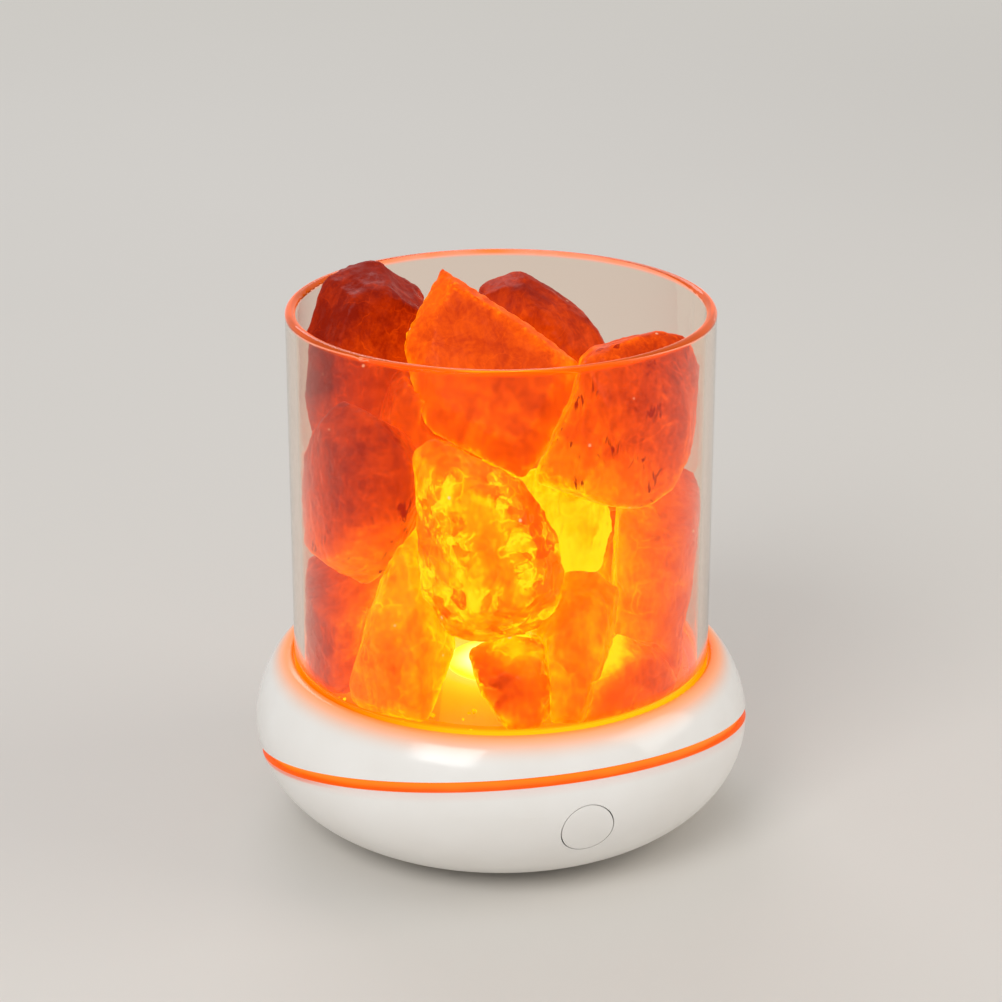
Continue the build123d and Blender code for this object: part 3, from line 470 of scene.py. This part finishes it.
saltSizes = {   # how large each pattern in and on the salt is
    "crackle": 1.7 * mm, "cloud": 9 * mm, "streak": 2.4 * mm, "warp": 4 * mm, "warpReach": 3 * mm,
    "cell": 3.4 * mm, "flakePatch": 9 * mm, "flare": 3.0 * mm, "crack": 6.5 * mm, "crackPatch": 6 * mm,
    "sugar": 0.8 * mm, "speck": 1.9 * mm, "speckPatch": 8 * mm, "glint": 4.5 * mm, "relief": 0.9 * mm,
}
saltBands = {   # the values of each pattern between which it goes from nothing to full
    "crackle": (0.4, 0.6), "flake": (0.1, 0.9), "flakePatch": (0.42, 0.6), "flare": (0.53, 0.6),
    "crack": (0.035, 0.0), "crackPatch": (0.45, 0.6), "speck": (0.57, 0.66), "speckPatch": (0.44, 0.58),
    "glint": (0.1, 0.06), "glintChosen": (0.78, 0.8), "gloss": (0.6, 1.4),
}
saltShades = {
    # glint: the colour of the painted highlights
    "speck": "#A61200", "glint": "#FFD8B0",
    "body": [(0.0, "#3E0F03"), (0.5, "#5C2206"), (1.0, "#7A420C")],    # under the glow, cold to hot
}


def voronoi(tree, vector, size, settings=None):
    return addNode(tree, "ShaderNodeTexVoronoi", {**(settings or {}), "Scale": 1 / size},
                   {"Vector": vector}).outputs


def firstChannel(tree, colour):
    return addNode(tree, "ShaderNodeSeparateColor", None, {"Color": colour}).outputs[0]


def rockSalt(name):
    # rock salt, broken and partly washed smooth: translucent, so it glows with the light that has
    # come through it; clouds, cleavage flakes, streaks and red iron specks are inside it
    look, size, band = saltKinds[name], saltSizes, saltBands
    material, tree, shader, coords = newMaterial(name, {
        "IOR": 1.35, "Specular IOR Level": 0.12, "Emission Strength": 1.0,
    })
    stretched = addNode(tree, "ShaderNodeMapping", {"Rotation": (0.5, 0.3, 0.2), "Scale": (1.0, 1.0, 0.3)},
                        {"Vector": coords}).outputs["Vector"]
    warp = addNode(tree, "ShaderNodeTexNoise", {"Scale": 1 / size["warp"], "Detail": 2.0},
                   {"Vector": coords})
    warped = addNode(tree, "ShaderNodeVectorMath", {"operation": "MULTIPLY_ADD"},
                     {0: warp.outputs["Color"], 2: coords})
    warped.inputs[1].default_value = [size["warpReach"]] * 3
    warped = warped.outputs["Vector"]

    # what the mesh brings: its glow, and the light that its broken edges catch
    heat = addNode(tree, "ShaderNodeAttribute", {"attribute_name": "saltGlow"}).outputs["Fac"]
    edge = addNode(tree, "ShaderNodeAttribute", {"attribute_name": "saltEdge"}).outputs["Fac"]
    crackle = grain(tree, coords, size["crackle"], 3.0, 0.6, 1.0)
    crackle = spread(tree, crackle, *band["crackle"], 1 - look["crackle"], 1.0)
    heat = compute(tree, "ADD", heat, product(tree, edge, crackle))

    # clouds and streaks
    cloud = grain(tree, coords, size["cloud"], 5.0, 0.6, 1.0)
    heat = compute(tree, "ADD", heat, around(tree, cloud, look["cloud"]))
    streak = grain(tree, stretched, size["streak"], 3.0, 0.5, 1.5)
    heat = compute(tree, "ADD", heat, around(tree, streak, look["streak"]))

    # cleavage flakes, in patches, and the bright flares between them
    cells = voronoi(tree, warped, size["cell"])
    cellTone = firstChannel(tree, cells["Color"])
    flakePatch = spread(tree, grain(tree, coords, size["flakePatch"], 2.0), *band["flakePatch"])
    flake = spread(tree, cellTone, *band["flake"], -look["flake"] / 2, look["flake"] / 2)
    heat = compute(tree, "ADD", heat, product(tree, flake, flakePatch))
    flare = spread(tree, grain(tree, coords, size["flare"], 4.0, 0.6, 2.0), *band["flare"])
    heat = compute(tree, "ADD", heat, product(tree, flare, flakePatch, look["flare"]))

    # cracks and single crystals
    cracks = voronoi(tree, warped, size["crack"], {"feature": "DISTANCE_TO_EDGE"})["Distance"]
    crackPatch = spread(tree, grain(tree, coords, size["crackPatch"], 1.0), *band["crackPatch"])
    crack = spread(tree, cracks, *band["crack"], 0.0, look["crack"])
    heat = compute(tree, "ADD", heat, product(tree, crack, crackPatch))
    crystals = grain(tree, coords, size["sugar"], 2.0, 0.7)
    heat = compute(tree, "ADD", heat, around(tree, crystals, look["sugar"] * 2), clamp=True)

    # red specks, and painted highlights of mirror-flat faces over the glow
    specks = spread(tree, grain(tree, stretched, size["speck"], 3.0, 0.6, 1.0), *band["speck"])
    speckPatch = spread(tree, grain(tree, coords, size["speckPatch"], 1.0), *band["speckPatch"])
    specks = product(tree, specks, speckPatch, look["speck"])
    colour = blendColours(tree, specks, ramp(tree, heat, heatStops), saltShades["speck"])
    glints = voronoi(tree, coords, size["glint"])
    chosen = spread(tree, firstChannel(tree, glints["Color"]), *band["glintChosen"], 0.0, look["glint"])
    glint = product(tree, spread(tree, glints["Distance"], *band["glint"]), chosen)
    tree.links.new(blendColours(tree, glint, colour, saltShades["glint"]), shader.inputs["Emission Color"])
    # painted light: the base colour under the glow is lighter where the glow is hotter
    tree.links.new(ramp(tree, heat, saltShades["body"]), shader.inputs["Base Color"])

    gloss = spread(tree, compute(tree, "ADD", cellTone, cloud), *band["gloss"], *look["gloss"])
    tree.links.new(gloss, shader.inputs["Roughness"])
    fine = compute(tree, "ADD", grain(tree, coords, size["relief"], 4.0, 0.6),
                   product(tree, cells["Distance"], 0.6))
    bump(tree, shader, fine, look["relief"] * mm)
    return material


# heat: glow in the middle of the lump; fall: how fast it fades away from the lamp; thin: how much thin
# places gain; face: how much facets turned to the lamp gain; tone: facet to facet; edge and rim: light
# caught in the broken edges and in the bevels round the front; shade: change per 10 mm to the right,
# away and up; spots: (right, up, radius, gain) in mm; cuts: (place, right, up) flakes gone from the rim
saltDefaults = {
    "kind": "plainSalt", "heat": 0.54, "fall": 0.12, "thin": 0.08, "face": 0.08, "tone": 0.1, "edge": 0.14,
    "rim": 0.03, "shade": (0, 0, 0), "spots": (), "cuts": (),
    "chips": 14, "deep": 0.9, "bevels": 22, "smooth": 1, "wave": 0.35, "scallop": 0.5, "pits": 5.0,
    "fine": 0.12, "wear": 0.5,
}
saltLooks = {
    "salt_front_middle": {
        "kind": "glassySalt", "heat": 0.82, "edge": -0.2, "rim": -0.08, "wave": 0.5, "scallop": 0.45,
        "pits": 4.2, "smooth": 3, "fall": 0.06,
        "spots": ((-7, -3, 5, 0.14), (2, 12, 6, 0.14), (-9, 16, 8, 0.2), (-10, -15, 5, -0.16),
                  (6, -17, 6, -0.08)),
    },
    "salt_left_front": {
        "kind": "veinedSalt", "heat": 0.38, "fall": 0.08, "shade": (-0.02, 0, -0.04), "pits": 3.4,
        "spots": ((7, 3, 5, -0.16), (-6, -12, 8, 0.08)),
    },
    "salt_front_low": {
        "kind": "glassySalt", "heat": 0.71, "spots": ((-3, 1, 4, -0.24), (0, 8, 4, 0.22)), "pits": 2.6,
    },
    "salt_front_right": {"heat": 0.72, "face": 0.04, "spots": ((6, 4, 5, 0.08),)},
    "salt_right_low": {"heat": 0.6, "shade": (-0.08, 0, 0.02), "spots": ((-3, 8, 3.5, 0.4),)},
    "salt_left_slab": {"heat": 0.77, "shade": (0.03, 0, 0.04), "spots": ((-5, 6, 5, 0.1),), "face": 0.04},
    "salt_left_low": {"heat": 0.52, "shade": (0.14, 0, 0.02)},
    "salt_right_tall": {
        "heat": 0.6, "shade": (-0.1, 0, 0.02), "face": 0.03, "tone": 0.03, "edge": 0.0, "rim": 0.0,
        "cuts": (((24.8, -8.1, 68.0), -1.0, 0.05), ((38.5, -15.6, 47.9), 0.99, -0.15)),
    },
    "salt_top_wedge": {
        "kind": "frostedSalt", "heat": 0.44, "fall": 0.02, "shade": (0.0, 0, 0.01), "wave": 0.12,
        "scallop": 0.12, "chips": 0, "bevels": 30, "edge": 0.26, "rim": 0.14, "fine": 0.05, "wear": 0.9,
        "smooth": 0, "tone": 0.04, "spots": ((2, -2, 9, 0.1), (-10, 14, 7, -0.03)),
    },
    "salt_right_top": {
        "kind": "veinedSalt", "heat": 0.45, "shade": (-0.06, 0, -0.02), "edge": 0.25, "rim": 0.1,
        "spots": ((-6, -8, 7, 0.08),),
    },
    "salt_middle_hot": {"heat": 0.96, "fall": 0.05, "tone": 0.04, "edge": 0.0, "rim": 0.0, "face": 0.0},
    "salt_left_middle": {"heat": 0.45},
    "salt_back_middle": {"kind": "frostedSalt", "heat": 0.26, "wave": 0.3, "scallop": 0.3, "edge": 0.06},
    "salt_back_left": {"heat": 0.16, "shade": (0.03, 0, -0.06), "edge": 0.08, "rim": 0.0},
    "salt_back_left_low": {"heat": 0.5},
    "salt_back_low": {"heat": 0.6, "kind": "glassySalt"},
    "salt_back_right_low": {"heat": 0.58},
    "salt_left_back": {"heat": 0.46},
    "salt_right_back": {"heat": 0.42, "kind": "veinedSalt"},
    "salt_back_high": {"heat": 0.38, "kind": "frostedSalt"},
    "salt_core": {"heat": 0.94, "fall": 0.06},
}
rockMesh = {
    "merge": 0.002 * mm, "flat": 0.01,      # what counts as one point, and as one face (radians)
    "voxel": 0.5 * mm, "glassGap": 0.2 * mm, "floorGap": 0.12 * mm,
    "edgeReach": 5, "edgeFull": 0.16 * mm,  # rounds of calming, and the ridge that counts as sharp
    "firstSeed": 100, "noiseSeed": 7, "noiseStep": (37.0, 11.0, 0.0),
}
bevelRules = {
    "chipDepth": (0.3, 1.0), "sharpEdge": 0.35, "longEdge": 2 * mm, "share": (0.3, 0.7), "jitter": 0.05,
    "overhang": 0.6 * mm, "depth": (0.15, 0.5),
}
# how the surface is broken: the size of each pattern (mm), and how far the pits are bent (mm)
surfaceRules = {
    "warp": 5, "warpReach": 1.6, "wave": 8, "fine": 1.6, "worn": 1.8, "wornShare": 0.25, "pitLevel": 0.3,
    "fractal": (0.9, 2.1, 3),
}
glowRules = {
    "clearDepth": 14 * mm, "deepest": -0.8,      # salt this deep gains nothing; the most it loses
    "fallLength": 30 * mm,
    "skin": 0.3,                                 # the ray starts this far inside (mm)
    "rimStart": 0.86, "rimWidth": 0.25,          # how far a bevel is turned away from the viewer
    "toneTurn": 1.7, "toneStep": 3.1, "facetBlur": 3, "blur": 7, "highest": 1.1,
}


def cutFlat(mesh, place, direction):
    # everything outside a plane comes off and the cut is closed
    cut = bmesh.ops.bisect_plane(mesh, geom=mesh.verts[:] + mesh.edges[:] + mesh.faces[:], dist=1e-7,
                                 plane_co=place, plane_no=direction, clear_outer=True)
    loop = [part for part in cut["geom_cut"] if isinstance(part, bmesh.types.BMEdge)]
    bmesh.ops.holes_fill(mesh, edges=loop, sides=0)


def randomDirection(rng):
    # as likely one way as another, and about 1 long
    return Vector((rng.gauss(0, 1), rng.gauss(0, 1), rng.gauss(0, 1)))


def knockCorners(mesh, look, rng):
    # the flakes that the photograph shows gone, flat chips off the outermost corners, then slim
    # bevels knocked along the edges
    cameraUp = heapAxes @ Vector((0, math.sin(viewPitch), math.cos(viewPitch)))
    for place, right, up in look["cuts"]:
        cutFlat(mesh, heapAxes @ Vector(place) * mm, (heapAxes.col[0] * right + cameraUp * up).normalized())
    for _ in range(look["chips"]):
        direction = randomDirection(rng).normalized()
        reach = max(direction.dot(v.co) for v in mesh.verts)
        depth = rng.uniform(*bevelRules["chipDepth"]) * look["deep"] * mm
        cutFlat(mesh, direction * (reach - depth), direction)
    for _ in range(look["bevels"]):
        mesh.normal_update()
        edges = [e for e in mesh.edges if len(e.link_faces) == 2
                 and e.calc_face_angle(0) > bevelRules["sharpEdge"]
                 and e.calc_length() > bevelRules["longEdge"]]
        if not edges:
            return
        edge = rng.choice(edges)
        first, second = (face.normal for face in edge.link_faces)
        share = rng.uniform(*bevelRules["share"])
        jitter = randomDirection(rng) * bevelRules["jitter"]
        direction = (first * share + second * (1 - share) + jitter).normalized()
        reach = max(direction.dot(v.co) for v in mesh.verts)
        middle = (edge.verts[0].co + edge.verts[1].co) / 2
        if reach - direction.dot(middle) < bevelRules["overhang"]:
            cutFlat(mesh, middle - direction * rng.uniform(*bevelRules["depth"]) * mm, direction)


def evenMesh(mesh, name):
    # the same shape in small even faces
    data = bpy.data.meshes.new(name)
    mesh.to_mesh(data)
    mesh.free()
    piece = bpy.data.objects.new(name, data)
    bpy.context.scene.collection.objects.link(piece)
    remesh = piece.modifiers.new("remesh", "REMESH")
    remesh.mode = "VOXEL"
    remesh.voxel_size = rockMesh["voxel"]
    piece.data = bpy.data.meshes.new_from_object(piece.evaluated_get(bpy.context.evaluated_depsgraph_get()))
    piece.modifiers.clear()
    bpy.data.meshes.remove(data)
    return piece


def relax(values, ends, times):
    # each value moves towards the mean of its neighbours
    count = np.maximum(np.bincount(ends.ravel(), minlength=len(values)), 1)
    for _ in range(times):
        total = np.bincount(ends[:, 0], values[ends[:, 1]], len(values))
        total += np.bincount(ends[:, 1], values[ends[:, 0]], len(values))
        values = 0.4 * values + 0.6 * total / count
    return values


def sharpness(mesh):
    # 1 on sharp ridges, 0 on flats and below 0 in hollows; and the two ends of each edge
    ends = np.array([[e.verts[0].index, e.verts[1].index] for e in mesh.edges])
    points = np.array([v.co for v in mesh.verts])
    normals = np.array([v.normal for v in mesh.verts])
    calm = np.stack([relax(points[:, i], ends, rockMesh["edgeReach"]) for i in range(3)], 1)
    ridge = ((points - calm) * normals).sum(1) / rockMesh["edgeFull"]
    return np.clip(ridge, -1, 1), ends


def breakSurface(piece, look, offset):
    # chipped edges, waves, scallops and fine roughness, kept inside the glass
    mesh = bmesh.new()
    mesh.from_mesh(piece.data)
    for _ in range(look["smooth"]):
        bmesh.ops.smooth_vert(mesh, verts=mesh.verts, factor=0.5, use_axis_x=True, use_axis_y=True,
                              use_axis_z=True)
    mesh.normal_update()
    mesh.verts.index_update()
    ridge, _ = sharpness(mesh)
    limit = cupInside - rockMesh["glassGap"]
    lowest = saltFloor + rockMesh["floorGap"]
    rules = surfaceRules
    for v in mesh.verts:
        p = v.co / mm + offset
        warp = noise.noise_vector(p / rules["warp"]) * rules["warpReach"]
        wave = noise.noise(p / rules["wave"])
        scallop = min(noise.voronoi((p + warp) / look["pits"])[0][0], 1.0) ** 2 - rules["pitLevel"]
        fine = noise.fractal(p / rules["fine"], *rules["fractal"])
        shift = look["wave"] * wave + look["scallop"] * scallop + look["fine"] * fine
        worn = max(ridge[v.index], 0) * max(noise.noise(p / rules["worn"]) + rules["wornShare"], 0)
        v.co += v.normal * (shift - look["wear"] * worn) * mm
        across = math.hypot(v.co.x, v.co.y)
        if across > limit:
            v.co.x *= limit / across
            v.co.y *= limit / across
        v.co.z = max(v.co.z, lowest)
    mesh.normal_update()
    mesh.to_mesh(piece.data)
    return mesh


def glowOf(mesh, look, number):
    # how much of the lamp's light reaches each point: nearer is hotter, so is a thin place, and each
    # facet turns it another way; the broken edges catch some on their own
    rules = glowRules
    tree = BVHTree.FromBMesh(mesh)
    middle = sum((v.co for v in mesh.verts), Vector()) / len(mesh.verts)
    middleDistance = (middle - lampSpot).length
    right, away, up = (heapAxes.col[i] for i in range(3))
    ridge, ends = sharpness(mesh)
    normals = np.array([v.normal for v in mesh.verts])
    normals = np.stack([relax(normals[:, i], ends, rules["facetBlur"]) for i in range(3)], 1)
    heat = np.zeros(len(mesh.verts))
    for v in mesh.verts:
        towards = lampSpot - v.co
        distance = towards.length
        towards /= distance
        normal = Vector(normals[v.index])
        spot, _, _, depth = tree.ray_cast(v.co - v.normal * rules["skin"] * mm, towards)
        depth = depth if spot is not None else 0.0
        value = look["heat"] + look["fall"] * (middleDistance - distance) / rules["fallLength"]
        value += look["thin"] * max(1 - depth / rules["clearDepth"], rules["deepest"])
        value += look["face"] * normal.dot(towards)
        turned = (rules["rimStart"] - abs(normal.dot(away))) / rules["rimWidth"]
        value += look["rim"] * min(max(turned, 0), 1)
        step = Vector((number * rules["toneStep"], 0, 0))
        value += look["tone"] * noise.noise(normal * rules["toneTurn"] + step)
        offset = v.co - middle
        local = (offset.dot(right) / mm, offset.dot(away) / mm, offset.dot(up) / mm)
        value += sum(change * part / 10 for change, part in zip(look["shade"], local))
        for x, z, radius, gain in look["spots"]:
            value += gain * math.exp(-((local[0] - x) ** 2 + (local[2] - z) ** 2) / radius ** 2)
        heat[v.index] = value
    # light scatters inside the salt, which softens the steps
    heat = np.clip(relax(heat, ends, rules["blur"]), 0.0, rules["highest"])
    return heat, look["edge"] * relax(np.maximum(ridge, 0), ends, 1)


def setAttribute(piece, name, values):
    piece.data.attributes.new(name, "FLOAT", "POINT").data.foreach_set("value", values.astype(np.float32))


def saltLump(node, number, materials):
    look = {**saltDefaults, **saltLooks[node]}
    rng = random.Random(rockMesh["firstSeed"] + number)
    mesh = bmesh.new()
    mesh.from_mesh(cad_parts[node].data)
    bmesh.ops.remove_doubles(mesh, verts=mesh.verts, dist=rockMesh["merge"])
    bmesh.ops.dissolve_limit(mesh, angle_limit=rockMesh["flat"], verts=mesh.verts, edges=mesh.edges)
    knockCorners(mesh, look, rng)
    piece = evenMesh(mesh, node + "_rock")
    mesh = breakSurface(piece, look, Vector(rockMesh["noiseStep"]) * number)
    glow, edge = glowOf(mesh, look, number)
    mesh.free()
    setAttribute(piece, "saltGlow", glow)
    setAttribute(piece, "saltEdge", edge)
    piece.data.shade_smooth()
    piece.data.materials.clear()
    piece.data.materials.append(materials[look["kind"]])
    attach(piece, "cup")
    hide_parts(node)
    return piece


crumbLook = {
    "seed": 7, "count": 70, "tries": 30, "size": (0.5, 1.5), "reach": (30.0, 43.0), "heat": (0.6, 1.0),
    "wallGap": 1.2 * mm, "middle": 0.42,         # height of a crumb's middle, as a share of its size
    "clearance": 0.7, "insideReach": 20 * mm,    # free of the lumps, and not inside one
    "turn": (0, 6), "tilt": (-0.4, 0.4), "flatten": ((0.6, 1), (0.6, 1), (0.6, 0.85)),
    "dents": 0.5 * mm, "dentDepth": 0.5, "floorGap": 0.02 * mm,
}


def saltCrumbs(lumps, material):
    # grains that have rubbed off and lie on the cup's floor between the lumps and the glass
    look = crumbLook
    rng = random.Random(look["seed"])
    walls = []
    for lump in lumps:
        mesh = bmesh.new()
        mesh.from_mesh(lump.data)
        walls.append(BVHTree.FromBMesh(mesh))
        mesh.free()
    crumbs = bmesh.new()
    glow = crumbs.verts.layers.float.new("saltGlow")
    crumbs.verts.layers.float.new("saltEdge")
    placed = 0
    for _ in range(look["count"] * look["tries"]):
        if placed == look["count"]:
            break
        size = rng.uniform(*look["size"]) * mm
        reach = rng.uniform(*look["reach"]) * mm
        reach = min(reach, cupInside - look["wallGap"] - size)
        heading = rng.uniform(0, 2 * math.pi)
        height = saltFloor + size * look["middle"]
        place = Vector((math.sin(heading) * reach, math.cos(heading) * reach, height))
        nearest = [wall.find_nearest(place) for wall in walls]
        if any(gap < size * look["clearance"]
               or (place - spot).dot(normal) < 0 and gap < look["insideReach"]
               for spot, normal, _, gap in nearest):
            continue
        turned = Matrix.Rotation(rng.uniform(*look["turn"]), 4, "Z")
        turned @= Matrix.Rotation(rng.uniform(*look["tilt"]), 4, "X")
        flattened = Matrix.Diagonal([rng.uniform(*sides) for sides in look["flatten"]] + [1])
        matrix = Matrix.Translation(place) @ turned @ flattened
        made = bmesh.ops.create_icosphere(crumbs, subdivisions=2, radius=size / 2, matrix=matrix)
        heat = rng.uniform(*look["heat"])
        for v in made["verts"]:
            v.co += (v.co - place) * noise.noise(v.co / look["dents"]) * look["dentDepth"]
            v.co.z = max(v.co.z, saltFloor + look["floorGap"])
            v[glow] = heat
        placed += 1
    data = bpy.data.meshes.new("salt_crumbs")
    crumbs.to_mesh(data)
    crumbs.free()
    data.materials.append(material)
    piece = bpy.data.objects.new("salt_crumbs", data)
    bpy.context.scene.collection.objects.link(piece)
    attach(piece, "cup")
    return placed


# without a seed the clock picks the offsets of noise_vector, and the pits differ from run to run
noise.seed_set(rockMesh["noiseSeed"])
saltMaterials = {name: rockSalt(name) for name in saltKinds}
saltPieces = []
for number, node in enumerate(saltLooks):
    saltPieces.append(saltLump(node, number, saltMaterials))
    print(node, len(saltPieces[-1].data.polygons), "faces")
print(saltCrumbs(saltPieces, saltMaterials["glassySalt"]), "crumbs")

# finishes of the pieces that keep their shape
finishOf = {
    "upper_housing": polishedAbs(),
    "lower_housing": satinAbs(),
    "button_cap": satinAbs("satinAbsButton"),
    "light_ring": milkyRing(),
    "light_window": milkyWindow(),
    "glass_cup": clearGlass(),
    "cup_gasket": litSilicone(),
    "lamp_diodes": litPhosphor(),
}
finishOf["ring_diodes"] = finishOf["lamp_diodes"]
plainNodes = {
    "whiteSolderMask": ["lamp_board", "ring_board"],
    "greenSolderMask": ["main_board", "switch_board"],
    "zincPlatedSteel": ["lamp_board_screws", "main_board_screws", "switch_board_screws", "housing_screws"],
    "stainlessSheet": ["charging_socket_shell"],
    "blackNylon": ["charging_socket_tongue", "switch_body"],
    "redNylon": ["switch_plunger"],
    "whiteNylon": ["battery_socket"],
    "blackEpoxy": ["control_chip", "power_inductor"],
    "firedCeramic": ["board_capacitors"],
    "shrinkFilm": ["battery_cell"],
    "wireInsulation": ["battery_leads", "lamp_leads", "ring_leads", "switch_leads"],
    "reflectorWhite": ["reflector"],
    "greyRubber": ["base_pad"],
    "openFoam": ["battery_pad"],
}
for finish, nodes in plainNodes.items():
    made = plainFinish(finish)
    for node in nodes:
        finishOf[node] = made
for node, material in finishOf.items():
    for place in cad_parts[node].material_slots:
        place.material = material
print("finishes on", len(finishOf), "nodes")

studio = {
    "floor": ("#D7D3CD", "#D9D5CF"), "floorSize": 6.0, "floorPatches": 0.4, "backdrop": "#D3D0CA",
    "world": "#F4F4F4", "worldStrength": 0.6, "aim": (0, 0, 0.05),
    "fade": (0.45, 1.5),     # the floor runs into the backdrop between these distances (m)
    # name: place, size (m), power (W), colour; each one faces the aim
    "softboxes": {
        "keyLeft": ((-0.62, -0.55, 0.75), 0.5, 4.6, "#FFFFFF"),
        "fillRight": ((0.8, -0.35, 0.55), 0.6, 2.4, "#FFF8F0"),
        "rimBack": ((0.1, 0.9, 0.8), 0.6, 2.4, "#F4F8FF"),
    },
}


def seenDirectly(tree):
    # 1 for what the camera sees, also through glass or in a mirror
    path = addNode(tree, "ShaderNodeLightPath").outputs
    seen = compute(tree, "ADD", path["Is Camera Ray"], path["Is Transmission Ray"])
    return compute(tree, "ADD", seen, path["Is Glossy Ray"], clamp=True)


def studioFloor():
    # a painted floor that runs into the backdrop further out
    mesh = bmesh.new()
    bmesh.ops.create_grid(mesh, x_segments=1, y_segments=1, size=studio["floorSize"])
    data = bpy.data.meshes.new("floor")
    mesh.to_mesh(data)
    mesh.free()
    floor = bpy.data.objects.new("floor", data)
    bpy.context.scene.collection.objects.link(floor)
    material, tree, shader, coords = newMaterial("paintedFloor", {"Roughness": 0.75})
    tree.links.new(tones(tree, coords, studio["floorPatches"], *studio["floor"], 2.0),
                   shader.inputs["Base Color"])
    far = spread(tree, places(tree, coords)[0], *studio["fade"])
    far = compute(tree, "MULTIPLY", far, seenDirectly(tree))
    shown = addNode(tree, "ShaderNodeEmission", {"Color": linear(studio["backdrop"])})
    mix = addNode(tree, "ShaderNodeMixShader", None, {0: far, 1: shader.outputs[0], 2: shown.outputs[0]})
    output = next(node for node in tree.nodes if node.type == "OUTPUT_MATERIAL")
    tree.links.new(mix.outputs[0], output.inputs["Surface"])
    data.materials.append(material)


def studioWorld():
    # pale light from all round, and the backdrop for what the camera sees
    world = bpy.data.worlds.new("studio")
    bpy.context.scene.world = world
    world.use_nodes = True
    tree = world.node_tree
    tree.nodes.clear()
    light = addNode(tree, "ShaderNodeBackground",
                    {"Color": linear(studio["world"]), "Strength": studio["worldStrength"]})
    shown = addNode(tree, "ShaderNodeBackground", {"Color": linear(studio["backdrop"]), "Strength": 1.0})
    mix = addNode(tree, "ShaderNodeMixShader", None, {0: seenDirectly(tree), 1: light.outputs[0],
                                                      2: shown.outputs[0]})
    output = addNode(tree, "ShaderNodeOutputWorld")
    tree.links.new(mix.outputs[0], output.inputs["Surface"])


def softbox(name, place, size, power, code):
    data = bpy.data.lights.new(name, "AREA")
    data.size = size
    data.energy = power
    data.color = linear(code)[:3]
    lamp = bpy.data.objects.new(name, data)
    lamp.location = place
    lamp.rotation_euler = (Vector(studio["aim"]) - Vector(place)).to_track_quat("-Z", "Y").to_euler()
    bpy.context.scene.collection.objects.link(lamp)


studioFloor()
studioWorld()
for name, (place, size, power, code) in studio["softboxes"].items():
    softbox(name, place, size, power, code)
print("studio ready")
